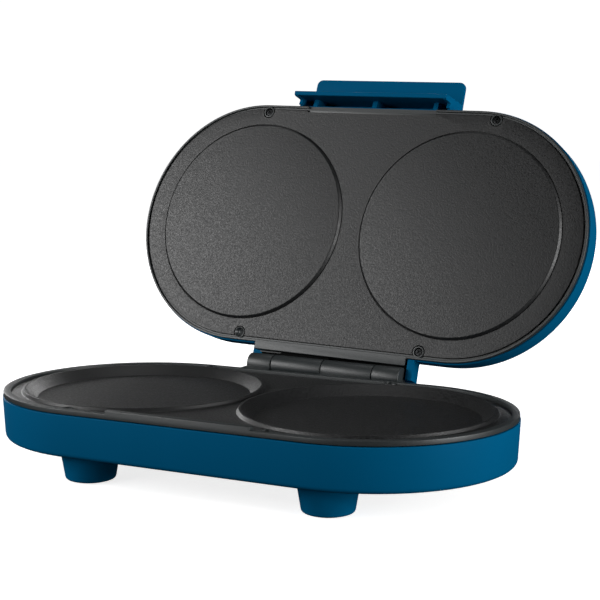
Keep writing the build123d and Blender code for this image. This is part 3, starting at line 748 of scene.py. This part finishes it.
@dataclass(frozen=True)
class CaseScrew:
    """Pan-head screw with a cross recess, and the lug that it sits in."""

    head_radius: float = 2.5
    head_height: float = 1.6
    head_edge: float = 0.7
    shank_radius: float = 1.5
    length: float = 8.0           # from the head's top to the tip
    lug_radius: float = 3.6
    lug_edge: float = 0.35
    lug_short: float = 0.5        # of the lug's end from the skirt's
    lug_gap: float = 0.5          # dark gap round the lug
    bore: float = 2.75            # radius of the head's seat
    cross_half: float = 1.5
    cross_width: float = 0.38     # half a slot's width
    cross_depth: float = 0.9

    def build(self) -> bpy.types.Object:
        """Turns the screw and cuts its cross.

        Returns:
            The screw, its head's top at the origin and its shank pointing down.
        """
        head = turned("screw", [
            (0, 0, 0), (self.head_radius, 0, self.head_edge), (self.head_radius, -self.head_height, 0.15),
            (self.shank_radius, -self.head_height, 0), (self.shank_radius, -self.length, 0.5),
            (0, -self.length, 0),
        ], (0, 0))
        long = Vector((self.cross_half, self.cross_width, self.cross_depth))
        wide = Vector((self.cross_width, self.cross_half, self.cross_depth))
        return combine(head, [brick("cross", -long, long), brick("cross", -wide, wide)], Joining.CUT)

    def lug(self, at: Point, face: float, end: float) -> bpy.types.Object:
        """Turns a solid lug, rounded at its face.

        Args:
            at: its axis's x and y.
            face: height of the face that the screw enters.
            end: height of its other end.

        Returns:
            The solid.
        """
        return turned("lug", [
            (0, face, 0), (self.lug_radius, face, self.lug_edge), (self.lug_radius, end, 0), (0, end, 0),
        ], at)

    def seat(self, at: Point, mouth: float, floor: float) -> bpy.types.Object:
        """Returns the cutter of the head's seat, from the mouth to the floor."""
        return drum("seat", at, self.bore, mouth, floor)


SCREW = CaseScrew()
BASE_SCREW_RAIL = 74.0    # distance of the base's screws from the racetrack's spine
BASE_SCREW_X = (-71.5, 51.0)
LID_SCREW_RAIL = 73.0
LID_SCREW_X = ((-72.9, -1), (84.3, -1), (-64.8, 1), (58.8, 1))    # each with its side, front or back
BASE_SCREWS = [on_rail(x, side, BASE_SCREW_RAIL) for x in BASE_SCREW_X for side in SIDES]
LID_SCREWS = [on_rail(x, side, LID_SCREW_RAIL) for x, side in LID_SCREW_X]


@dataclass
class BaseBezel(SubAssembly):
    """Dark rim of the base: ring, front bar, screw lugs and two hinge knuckles."""

    node: str = "base_bezel"
    body: str = "base"
    slot: str = "dark_plastic"
    finish: Finish = DARK_PBT
    outer: float = 78.9
    inner: float = 74.7
    height: float = 2.7
    skirt: float = 76.0
    skirt_depth: float = 11.0
    bar_half: float = 43.7
    bar_root: float = -1.0        # where the bar starts, in the ring
    bar_top: float = 1.8
    lug_top: float = -0.1
    seat_mouth: float = 3.0
    seat_floor: float = -3.2
    knuckle_radius: float = 6.3
    knuckle_edge: float = 0.5
    knuckles: tuple[Span, ...] = ((-52.2, -35.6), (-0.4, 33.6))
    web_reach: float = -14.9      # start of the knuckles' webs, from the hinge
    web_edge: float = -10.1       # where the webs pass the blue shell
    web_drop: float = 0.35        # webs below the rim's top
    web_lift: float = 0.1         # webs above the ring's underside
    web_hang: float = 1.5         # webs below it, once past the shell

    def knuckle(self, x_low: float, x_high: float) -> bpy.types.Object:
        """Makes one knuckle with its web, in the hinge's own frame.

        Args:
            x_low: where it starts.
            x_high: where it ends.

        Returns:
            The solid.
        """
        barrel = rod("knuckle", self.knuckle_radius, x_low, x_high, self.knuckle_edge)
        top = -HINGE_AT.z - self.web_drop
        low = -HINGE_AT.z - self.height
        web = side_prism("web", [
            (self.web_reach, top, 0.3), (0, top, 0), (0, -self.knuckle_radius + OVERLAP, 0),
            (self.web_edge, low - self.web_hang, 0), (self.web_edge, low + self.web_lift, 0),
            (self.web_reach, low + self.web_lift, 0),
        ], x_low + WEB_SETBACK, x_high - WEB_SETBACK)
        return combine(barrel, [web], Joining.ADD)

    def build(self) -> bpy.types.Object:
        """Sweeps the ring, joins the rest to it and cuts the screws' seats.

        Returns:
            The solid.
        """
        ring = racetrack(self.node, [
            (self.outer, 0, 0.5), (self.outer, -self.height, 0.2), (self.skirt, -self.height, 0),
            (self.skirt, -self.skirt_depth, 0), (self.inner, -self.skirt_depth, 0), (self.inner, 0, 0.3),
        ], closed=True)
        corner = Vector((-self.bar_half, -self.outer, self.bar_root))
        bar = brick("bar", corner, Vector((self.bar_half, -self.inner, self.bar_top)))
        parts = [bevel(bar, 0.3)]
        parts += [place(self.knuckle(*ends), LAYOUT.hinge) for ends in self.knuckles]
        lug_end = -self.skirt_depth + SCREW.lug_short
        parts += [SCREW.lug(at, self.lug_top, lug_end) for at in BASE_SCREWS]
        combine(ring, parts, Joining.ADD)
        seats = [SCREW.seat(at, self.seat_mouth, self.seat_floor) for at in BASE_SCREWS]
        return combine(ring, seats, Joining.CUT)


@dataclass
class BasePlate(SubAssembly):
    """Cast pan plate with two round pockets, each inside a raised lip."""

    node: str = "base_plate"
    body: str = "base"
    slot: str = "coated_plate"
    finish: Finish = NON_STICK
    edge: float = 74.4
    top: float = -1.6
    flange: float = 2.8
    floor: float = -5.0
    floor_radius: float = 61.0
    thick: float = 3.6
    crest: float = 0.4            # height of the lips
    crest_radius: float = 68.4
    hole_inset: float = 3.0       # of the hole's edge that a pocket closes, from the crest
    cut_top: float = 1.0          # top of the cutters, above the lips

    def pocket(self, side: int) -> bpy.types.Object:
        """Turns one pocket with its lip.

        Args:
            side: -1 for the left pocket and 1 for the right.

        Returns:
            The solid, from the lip to the floor.
        """
        under = self.floor - self.thick
        low = self.top - self.flange
        return turned("pocket", [
            (0, under, 0), (self.floor_radius + 2.5, under, 2.0), (self.crest_radius - 1, low, 0),
            (self.crest_radius + 2.9, low, 0), (self.crest_radius + 2.9, self.top - 0.05, 0),
            (self.crest_radius + 1.6, self.top, 0.9), (self.crest_radius + 0.7, self.crest, 0.4),
            (self.crest_radius - 0.8, self.crest, 0.4), (self.floor_radius, self.floor, 1.0),
            (0, self.floor, 0),
        ], (side * POCKET_X, 0))

    def build(self) -> bpy.types.Object:
        """Sweeps the plate, sets the pockets into it and cuts it round the screws.

        Returns:
            The solid.
        """
        low = self.top - self.flange
        plate = racetrack(self.node, [
            (0, low, 0), (self.edge, low, 0.3), (self.edge, self.top, 0.4), (0, self.top, 0),
        ])
        radius = self.crest_radius - self.hole_inset
        holes = [drum("hole", (side * POCKET_X, 0), radius, low - PAST, self.cut_top) for side in SIDES]
        combine(plate, holes, Joining.CUT)
        combine(plate, [self.pocket(side) for side in SIDES], Joining.ADD)
        gap = SCREW.lug_radius + SCREW.lug_gap
        notches = [drum("notch", at, gap, low - PAST, self.cut_top) for at in BASE_SCREWS]
        return combine(plate, notches, Joining.CUT)


@dataclass
class LidBezel(SubAssembly):
    """Dark rim of the lid: thin rim, groove, front recess, screw lugs, hinge flange and knuckles."""

    node: str = "lid_bezel"
    body: str = "lid"
    slot: str = "dark_plastic"
    finish: Finish = DARK_PBT
    outer: float = 77.65
    rim_width: float = 1.35
    rim: float = 0.5
    groove: float = 2.0
    groove_radius: float = 75.25
    back: float = 2.9
    skirt: float = 76.0
    skirt_end: float = 11.0
    strip_half: float = 44.3
    strip_floor: float = 2.2
    strip_edge: float = -73.9
    flange_x: Span = (-52.2, 51.5)
    flange_y: float = 82.2
    ledge_from: float = 0.4       # start of the flange's thin ledge, behind the rim's inner edge
    back_from: float = 0.6        # start of the flange's thick back, behind the same edge
    back_lift: float = 0.2        # of that back above the ledge's face
    arm: Span = (4.6, 6.8)        # heights of the webs
    lug_face: float = 0.8
    seat_mouth: float = -3.0
    seat_floor: float = 3.2
    knuckle_radius: float = 6.3
    knuckle_edge: float = 0.5
    knuckles: tuple[Span, ...] = ((-35.2, -0.8), (34.0, 51.5))
    web_reach: float = -13.0      # start of the knuckles' webs, from the hinge
    # the liner is a dark sheet behind the knuckles that stands for the shade in the hinge's gap
    shade_liner_radius: float = 7.6
    shade_liner_thick: float = 0.7
    shade_liner_inset: float = 2.0      # of its ends from the flange's
    shade_liner_lap: float = 0.6        # how far it starts inside the flange
    stem: Span = (0.8, 2.0)       # thickness and drop of its front edge
    painted_shade_start: float = 0.05       # start of the painted shade in the gap, behind the flange
    painted_shade_clear: float = 0.1        # of the painted shade from the knuckles

    def knuckle(self, x_low: float, x_high: float) -> bpy.types.Object:
        """Makes one knuckle with its web, in the hinge's own frame.

        Args:
            x_low: where it starts.
            x_high: where it ends.

        Returns:
            The solid.
        """
        barrel = rod("knuckle", self.knuckle_radius, x_low, x_high, self.knuckle_edge)
        low, high = (height - HINGE_AT.z for height in self.arm)
        corner = Vector((x_low + WEB_SETBACK, self.web_reach, low))
        web = brick("web", corner, Vector((x_high - WEB_SETBACK, 0, high)))
        return combine(barrel, [bevel(web, 0.25)], Joining.ADD)

    def shade_liner(self) -> bpy.types.Object:
        """Makes a thin dark sheet behind the knuckles, in the hinge's own frame, put there to stand for the
        shade in the hinge's gap.

        Returns:
            The solid.
        """
        low_x, high_x = self.flange_x[0] + self.shade_liner_inset, self.flange_x[1] - self.shade_liner_inset
        front = self.flange_y - HINGE_AT.y - self.shade_liner_lap
        inner = self.shade_liner_radius - self.shade_liner_thick
        thick, drop = self.stem
        corner = Vector((low_x, front, inner - drop))
        stem = brick("stem", corner, Vector((high_x, front + thick, self.shade_liner_radius)))
        return hinge_tube("shade_liner", (inner, self.shade_liner_radius), (low_x, high_x), front, [stem])

    def flange(self) -> list[bpy.types.Object]:
        """Makes the strip over the front recess, and the ledge and the thick back of the hinge flange.

        Returns:
            The solids.
        """
        half = self.strip_half
        corner = Vector((-half, -self.outer, self.strip_floor))
        strip = brick("strip", corner, Vector((half, self.strip_edge, self.back)))
        inside = self.outer - self.rim_width
        low_x, high_x = self.flange_x
        corner = Vector((low_x, inside + self.ledge_from, self.rim))
        ledge = brick("ledge", corner, Vector((high_x, self.flange_y, self.back)))
        corner = Vector((low_x, inside + self.back_from, self.rim + self.back_lift))
        back = brick("back", corner, Vector((high_x, self.flange_y, self.arm[1])))
        return [bevel(strip, 0.2), bevel(ledge, 0.35), bevel(back, 0.3)]

    def build(self) -> bpy.types.Object:
        """Sweeps the rim, recesses its front, joins the rest to it and cuts the screws' seats.

        Returns:
            The solid.
        """
        inside = self.outer - self.rim_width
        ring = racetrack(self.node, [
            (self.outer, self.rim, 0.4), (self.outer, self.back, 0), (self.skirt, self.back, 0),
            (self.skirt, self.skirt_end, 0), (self.groove_radius, self.skirt_end, 0),
            (self.groove_radius, self.groove, 0), (inside, self.groove, 0.2), (inside, self.rim, 0.3),
        ], closed=True)
        corner = Vector((-self.strip_half, -self.outer - PAST, -PAST))
        gap = brick("gap", corner, Vector((self.strip_half, self.strip_edge, self.strip_floor)))
        combine(ring, [gap], Joining.CUT)
        parts = self.flange()
        parts += [place(self.knuckle(*ends), LAYOUT.hinge) for ends in self.knuckles]
        # the dark sheet behind the knuckles, standing for the shade in the hinge's gap
        parts.append(place(self.shade_liner(), LAYOUT.hinge))
        lug_end = self.skirt_end - SCREW.lug_short
        parts += [SCREW.lug(at, self.lug_face, lug_end) for at in LID_SCREWS]
        combine(ring, parts, Joining.ADD)
        seats = [SCREW.seat(at, self.seat_mouth, self.seat_floor) for at in LID_SCREWS]
        return combine(ring, seats, Joining.CUT)

    def install(self) -> bpy.types.Object:
        """Makes the bezel, and paints the faces deep in the hinge's gap nearly black, as painted shade.

        Returns:
            The finished object.
        """
        piece = super().install()
        # painted shade: a second, nearly black material for the faces deep in the hinge's gap
        piece.data.materials.append(PAINTED_SHADE_PBT.material())
        to_hinge = (LAYOUT.lid @ LAYOUT.hinge).inverted()
        start = (self.flange_y - HINGE_AT.y + self.painted_shade_start) * MM
        barrel = (self.knuckle_radius + self.painted_shade_clear) * MM
        for face in piece.data.polygons:
            spot = to_hinge @ face.center
            if spot.y > start and spot.z > 0 and math.hypot(spot.y, spot.z) > barrel:
                face.material_index = 1
        return piece


@dataclass
class LidPlate(SubAssembly):
    """Cast lid plate with two raised discs."""

    node: str = "lid_plate"
    body: str = "lid"
    slot: str = "coated_plate"
    finish: Finish = NON_STICK
    edge: float = 75.1
    face: float = 0.8
    thick: float = 2.0
    disc_radius: float = 64.6
    disc_height: float = 1.8
    notch_half: float = 44.6
    notch_edge: float = -73.6
    disc_root: float = 0.3        # how far a disc reaches into the plate
    crease_inset: float = 0.3     # of the fine groove round each disc, from the disc's edge
    crease_width: float = 0.45
    crease_depth: float = 0.5
    cut: Span = (-3.0, 4.0)       # heights of the cutters' ends

    def crease(self, side: int) -> bpy.types.Object:
        """Turns the cutter of the groove round one disc.

        Args:
            side: -1 for the left disc and 1 for the right.

        Returns:
            The cutter.
        """
        inner = self.disc_radius - self.crease_inset
        outer = inner + self.crease_width
        low = self.face - self.crease_depth
        high = self.face + self.crease_depth
        return turned("crease", [
            (inner, low, 0), (outer, low, 0), (outer, high, 0), (inner, high, 0),
        ], (side * POCKET_X, 0), closed=True)

    def disc(self, side: int) -> bpy.types.Object:
        """Turns one raised disc.

        Args:
            side: -1 for the left disc and 1 for the right.

        Returns:
            The solid.
        """
        crown = self.face - self.disc_height
        root = self.face + self.disc_root
        return turned("disc", [
            (0, crown, 0), (self.disc_radius - 1.5, crown, 0.7),
            (self.disc_radius - 0.25, self.face - 0.1, 0), (self.disc_radius - 0.25, root, 0), (0, root, 0),
        ], (side * POCKET_X, 0))

    def build(self) -> bpy.types.Object:
        """Sweeps the plate, adds the discs, and cuts it round the screws, at the handle and round the discs.

        Returns:
            The solid.
        """
        back = self.face + self.thick
        plate = racetrack(self.node, [
            (0, self.face, 0), (self.edge, self.face, 0.4), (self.edge, back, 0.2), (0, back, 0),
        ])
        combine(plate, [self.disc(side) for side in SIDES], Joining.ADD)
        low, high = self.cut
        gap = SCREW.lug_radius + SCREW.lug_gap
        cuts = [drum("notch", at, gap, low, high) for at in LID_SCREWS]
        corner = Vector((-self.notch_half, -self.edge - PAST, low))
        cuts.append(brick("notch", corner, Vector((self.notch_half, self.notch_edge, high))))
        cuts += [self.crease(side) for side in SIDES]
        return combine(plate, cuts, Joining.CUT)


@dataclass
class LidShell(SubAssembly):
    """Blue cover of the lid, with the handle and the hinge cover moulded on."""

    node: str = "lid_shell"
    body: str = "lid"
    slot: str = "blue_plastic"
    finish: Finish = BLUE_ABS
    outer: float = 78.5
    edge: float = 3.3
    top: float = 26.5
    round: float = 12.0
    wall: float = 2.2
    handle_half: float = 52.4
    handle_front: float = -102.5
    handle_low: float = 20.6
    handle_thick: float = 2.5
    handle_corner: float = 4.0
    handle_root: float = -66.0    # where the flange starts, under the lid's top
    visor_edge: Point = (-85.4, -6.5)
    visor_root: float = -87.5
    visor_thick: float = 2.8
    web_step: Point = (-82.3, 2.4)
    web_thick: float = 2.0
    web_foot: float = -79.0
    rib_x: float = 41.8
    rib_low: float = 4.0
    rib_thick: float = 3.0
    root_lap: float = 0.5         # of the visor and its webs into the flange
    wall_lap: float = 1.0         # of the webs and ribs into the lid's wall
    cover_half: float = 57.0
    cover_inner: float = 7.9
    cover_thick: float = 2.2
    end_web_x: float = 52.7
    end_web_z: Span = (1.4, 8.5)
    end_web_lap: float = 0.5      # of the end web into the lid's wall
    notch_x: Span = (-52.7, 52.0)     # of the cut that the bezel's hinge flange passes
    notch_from: float = 70.0
    notch_top: float = 7.4
    light_x: float = 11.0
    light_y: float = -52.0
    light_z: Span = (20.0, 30.0)      # ends of the signal lights' holes
    light_radius: float = 4.1

    def flange(self) -> bpy.types.Object:
        """Extrudes the flat flange to lift the lid by.

        Returns:
            The solid.
        """
        half = self.handle_half
        outline = rounded([
            (-half, self.handle_root, 0), (-half, self.handle_front, self.handle_corner),
            (half, self.handle_front, self.handle_corner), (half, self.handle_root, 0),
        ], closed=True)
        points = [Vector((x, y, self.handle_low)) for x, y in outline]
        return bevel(prism("flange", points, Vector((0, 0, self.handle_thick))), 0.6)

    def visor(self) -> bpy.types.Object:
        """Extrudes the wall that hangs below the flange.

        Returns:
            The solid.
        """
        edge_y, edge_z = self.visor_edge
        top = self.handle_low + self.root_lap
        return side_prism("visor", [
            (edge_y, edge_z, 0.6), (edge_y + self.visor_thick, edge_z, 0.6),
            (self.visor_root + self.visor_thick, top, 0), (self.visor_root, top, 0),
        ], -self.handle_half, self.handle_half)

    def stiffeners(self) -> list[bpy.types.Object]:
        """Extrudes the two end webs and the three ribs between the visor and the lid's wall.

        Returns:
            The solids.
        """
        edge_y, edge_z = self.visor_edge
        step_y, step_z = self.web_step
        top = self.handle_low + self.root_lap
        wall = -self.outer + self.wall_lap
        root = self.visor_root + self.root_lap
        web = [
            (edge_y + 0.5, edge_z + 1, 0), (step_y, edge_z + 1, 0.5), (step_y, step_z, 0.8),
            (self.web_foot, step_z - 1, 0), (self.web_foot, self.edge, 0), (wall, self.edge, 0),
            (wall, top, 0), (root, top, 0),
        ]
        rib = [(edge_y + 1, self.rib_low + 1.5, 0), (wall, self.rib_low, 0), (wall, top, 0), (root, top, 0)]
        parts = []
        for side in SIDES:
            low, high = sorted((side * (self.handle_half - self.web_thick), side * self.handle_half))
            parts.append(side_prism("end_web", web, low, high))
        half = self.rib_thick / 2
        for step in (-1, 0, 1):
            parts.append(side_prism("rib", rib, step * self.rib_x - half, step * self.rib_x + half))
        return parts

    def hinge_cover(self) -> bpy.types.Object:
        """Makes the quarter tube behind the knuckles, with its strip and the web at its right end.

        Returns:
            The solid, in the closed layout.
        """
        radii = (self.cover_inner, self.cover_inner + self.cover_thick)
        ends = (-self.cover_half, self.cover_half)
        cover = hinge_tube("cover", radii, ends, self.outer - self.wall - HINGE_AT.y, [])
        cover = place(bevel(cover, 0.3), LAYOUT.hinge)
        low_z, high_z = self.end_web_z
        corner = Vector((self.end_web_x, self.outer - self.end_web_lap, low_z))
        web = brick("end_web", corner, Vector((self.cover_half, HINGE_AT.y, high_z)))
        return combine(cover, [bevel(web, 0.3)], Joining.ADD)

    def build(self) -> bpy.types.Object:
        """Sweeps the cover, joins the handle and the hinge cover to it, and hollows it.

        Returns:
            The solid.
        """
        shell = racetrack(self.node, [
            (0, self.edge, 0), (self.outer, self.edge, 0.3), (self.outer, self.top, self.round),
            (0, self.top, 0),
        ])
        combine(shell, [self.flange(), self.visor(), *self.stiffeners(), self.hinge_cover()], Joining.ADD)
        inner, roof, mouth = self.outer - self.wall, self.top - self.wall, self.edge - PAST
        hollow = racetrack("hollow", [
            (0, mouth, 0), (inner, mouth, 0), (inner, roof, self.round - self.wall), (0, roof, 0),
        ])
        low_x, high_x = self.notch_x
        corner = Vector((low_x, self.notch_from, 0))
        notch = brick("notch", corner, Vector((high_x, self.outer + PAST, self.notch_top)))
        lights = [
            drum("light", (side * self.light_x, self.light_y), self.light_radius, *self.light_z)
            for side in SIDES
        ]
        return combine(shell, [hollow, notch, *lights], Joining.CUT)


@dataclass
class CaseScrews:
    """The four screws that close each half, as one piece for each half."""

    base_top: float = -1.0        # height of the base's heads
    lid_face: float = 0.8
    sink: float = 0.8             # depth of the lid's heads in its face
    first_turn: float = 0.35      # radians that the first head's cross is turned by
    next_turn: float = 1.1        # radians from one head's cross to the next

    def install(self) -> None:
        """Makes both groups from copies of one screw."""
        master = SCREW.build()
        flip = Matrix.Rotation(math.pi, 4, "X")
        groups = (
            ("base", "base_case_screws", BASE_SCREWS, self.base_top, Matrix.Identity(4)),
            ("lid", "lid_case_screws", LID_SCREWS, self.lid_face + self.sink, flip),
        )
        for body, node, points, height, turn in groups:
            copies = []
            for index, (x, y) in enumerate(points):
                spin = Matrix.Rotation(self.first_turn + self.next_turn * index, 4, "Z")
                move = Matrix.Translation(Vector((x, y, height)) * MM)
                copies.append(copy_to(master, move @ turn @ spin, f"{node}_{index}"))
            self.merge(copies, node, body)
        bpy.data.objects.remove(master)

    def merge(self, copies: list[bpy.types.Object], node: str, body: str) -> None:
        """Joins one half's screws into a piece and ties it to its body.

        Args:
            copies: the screws in the closed layout.
            node: the CAD node that they stand for.
            body: the body that they ride on.
        """
        clear()
        for screw in copies:
            screw.select_set(True)
        bpy.context.view_layer.objects.active = copies[0]
        bpy.ops.object.join()
        piece = settle(bpy.context.object, node, body, BLACK_STEEL)
        LOG.info("%s: %d screws", piece.name, len(copies))


CARRIED_OVER = {
    "foot_pads": RUBBER,
    "base_plate_screws": ZINC_STEEL,
    "base_heater": ELEMENT_SHEATH,
    "base_heater_clips": ZINC_STEEL,
    "base_heat_shield": SHEET_ALUMINIUM,
    "base_shield_screws": ZINC_STEEL,
    "thermostat": ZINC_STEEL,
    "thermal_fuse": ZINC_STEEL,
    "terminal_block": DARK_PBT,
    "cord_gland": RUBBER,
    "cord_clamp": DARK_PBT,
    "base_leads": SILICONE,
    "hinge_pin": ZINC_STEEL,
    "lid_plate_screws": ZINC_STEEL,
    "lid_heater": ELEMENT_SHEATH,
    "lid_heater_clips": ZINC_STEEL,
    "lid_heat_shield": SHEET_ALUMINIUM,
    "lid_shield_screws": ZINC_STEEL,
    "power_lens": RED_LENS,
    "ready_lens": GREEN_LENS,
    "lamp_board": DARK_PBT,
    "lid_leads": SILICONE,
}


def dress_nodes() -> None:
    """Gives every CAD node that stays its finish."""
    for name, finish in CARRIED_OVER.items():
        dress(frame["nodes"][name], finish)
        LOG.info("%s: %s", name, finish.name)


def direction(azimuth: float, elevation: float) -> Vector:
    """Finds the direction from the object to a place round it.

    Args:
        azimuth: radians from straight in front, to the right.
        elevation: radians above the horizontal.

    Returns:
        The direction, one unit long.
    """
    flat = math.cos(elevation)
    return Vector((math.sin(azimuth) * flat, -math.cos(azimuth) * flat, math.sin(elevation)))


def aim(name: str, device: bpy.types.ID, spot: Vector, away: Vector) -> bpy.types.Object:
    """Adds a light or the camera to the scene.

    Args:
        name: the object's name.
        device: the light's or the camera's data.
        spot: where it is, in metres.
        away: the direction that its back points in.

    Returns:
        The object.
    """
    holder = bpy.data.objects.new(name, device)
    bpy.context.scene.collection.objects.link(holder)
    holder.location = spot
    holder.rotation_euler = away.to_track_quat("Z", "Y").to_euler()
    return holder


@dataclass(frozen=True)
class SoftLight:
    """One square softbox, aimed at the middle of the object."""

    name: str
    azimuth: float        # degrees from straight in front, to the right
    elevation: float      # degrees above the middle of the object
    power: float          # watts
    side: float = 0.6     # metres
    distance: float = 1.5
    middle: Vector = Vector((0.0, 0.0, 0.08))

    def build(self) -> None:
        """Adds the light."""
        away = direction(math.radians(self.azimuth), math.radians(self.elevation))
        lamp = bpy.data.lights.new(self.name, "AREA")
        lamp.size = self.side
        lamp.energy = self.power
        aim(self.name, lamp, self.middle + away * self.distance, away)


@dataclass(frozen=True)
class Studio:
    """Pale floor with a dome round it, soft lights and the camera."""

    azimuth: float = math.radians(27.91)
    elevation: float = math.radians(7.23)
    distance: float = 791.9
    target: Vector = Vector((30.5, 0.0, 55.8))        # in the closed layout
    lens: float = 87.57
    sensor: float = 36.0
    clip: float = 0.01                                # metres from the camera at which things start to show
    surround: float = 0.01                            # strength of the dim light from all round
    reach: float = 6.0                                # radius of the floor and of the dome, in metres
    dome_steps: int = 64
    fibres: float = 300.0                             # to the metre, coarser than paper's so that they show
    fibre_height: float = 0.01
    glow_near: float = 0.8                            # of the paper under the object
    glow_reach: Span = (0.2, 0.9)                     # metres over which the glow grows to full white
    lights: tuple[SoftLight, ...] = (
        SoftLight("front_left", -52, 22, 10.5),
        SoftLight("front", -28, 12, 5.6),
        SoftLight("right", 84, 6, 14.0),
        SoftLight("right_high", 95, 18, 6.0),
        SoftLight("left", -120, 12, 6.0),
        SoftLight("back", -165, 18, 5.0),
        SoftLight("above", -150, 72, 2.0),
    )

    def paper(self) -> bpy.types.Material:
        """Makes the backdrop's matt white paper, which glows so that no shadow on it is deep.

        Returns:
            The material.
        """
        made = bpy.data.materials.new("backdrop_paper")
        made.use_nodes = True
        tree = made.node_tree
        place_of = add_node(tree, "ShaderNodeTexCoord", {}, {}).outputs["Object"]
        fibre = add_node(tree, "ShaderNodeTexNoise", {}, {
            "Vector": place_of, "Scale": self.fibres,
        }).outputs["Fac"]
        bump = add_node(tree, "ShaderNodeBump", {}, {
            "Height": fibre, "Distance": self.fibre_height * MM,
        }).outputs["Normal"]
        shader = tree.nodes["Principled BSDF"]
        tree.links.new(bump, shader.inputs["Normal"])
        shader.inputs["Base Color"].default_value = linear("#F2F2F2")
        shader.inputs["Roughness"].default_value = 0.95
        shader.inputs["Specular IOR Level"].default_value = 0.0
        shader.inputs["Emission Color"].default_value = linear("#FFFFFF")
        away = add_node(tree, "ShaderNodeVectorMath", {"operation": "LENGTH"}, {
            0: place_of,
        }).outputs["Value"]
        glow = add_node(tree, "ShaderNodeMapRange", {"interpolation_type": "SMOOTHSTEP"}, {
            "Value": away, "From Min": self.glow_reach[0], "From Max": self.glow_reach[1],
            "To Min": self.glow_near, "To Max": 1.0,
        }).outputs[0]
        tree.links.new(glow, shader.inputs["Emission Strength"])
        return made

    def backdrop(self) -> None:
        """Adds the floor and the dome, which aren't part of the object and throw no light on it."""
        paper = self.paper()
        clear()
        bpy.ops.mesh.primitive_circle_add(vertices=self.dome_steps, radius=self.reach, fill_type="NGON")
        floor = bpy.context.object
        floor.name = "floor"
        clear()
        bpy.ops.mesh.primitive_uv_sphere_add(
            segments=self.dome_steps, ring_count=self.dome_steps // 2, radius=self.reach
        )
        dome = bpy.context.object
        dome.name = "dome"
        for sheet in (floor, dome):
            sheet.data.materials.append(paper)
            sheet.visible_diffuse = False
            sheet.visible_glossy = False
            sheet.visible_transmission = False
            sheet.visible_shadow = False

    def world(self) -> None:
        """Adds the dim surround."""
        world = bpy.data.worlds.new("surround")
        bpy.context.scene.world = world
        world.use_nodes = True
        background = world.node_tree.nodes["Background"]
        background.inputs["Color"].default_value = linear("#FFFFFF")
        background.inputs["Strength"].default_value = self.surround

    def camera(self) -> None:
        """Adds the camera at the photograph's angle."""
        back = direction(self.azimuth, self.elevation)
        lens = bpy.data.cameras.new("camera")
        lens.sensor_width = self.sensor
        lens.lens = self.lens
        lens.clip_start = self.clip
        spot = LAYOUT.base @ ((self.target + back * self.distance) * MM)
        bpy.context.scene.camera = aim("camera", lens, spot, back)

    def build(self) -> None:
        """Sets the whole studio up."""
        self.backdrop()
        self.world()
        self.camera()
        for light in self.lights:
            light.build()
        bpy.context.scene.view_settings.view_transform = "Standard"


def main() -> None:
    """Builds the studio and every sub-assembly, and reports each one."""
    logging.basicConfig(level=logging.INFO, format="%(name)s: %(message)s")
    Studio().build()
    dress_nodes()
    for part in (BaseShell(), BaseBezel(), BasePlate(), LidBezel(), LidPlate(), LidShell()):
        part.install()
    CaseScrews().install()


if __name__ == "__main__":
    main()
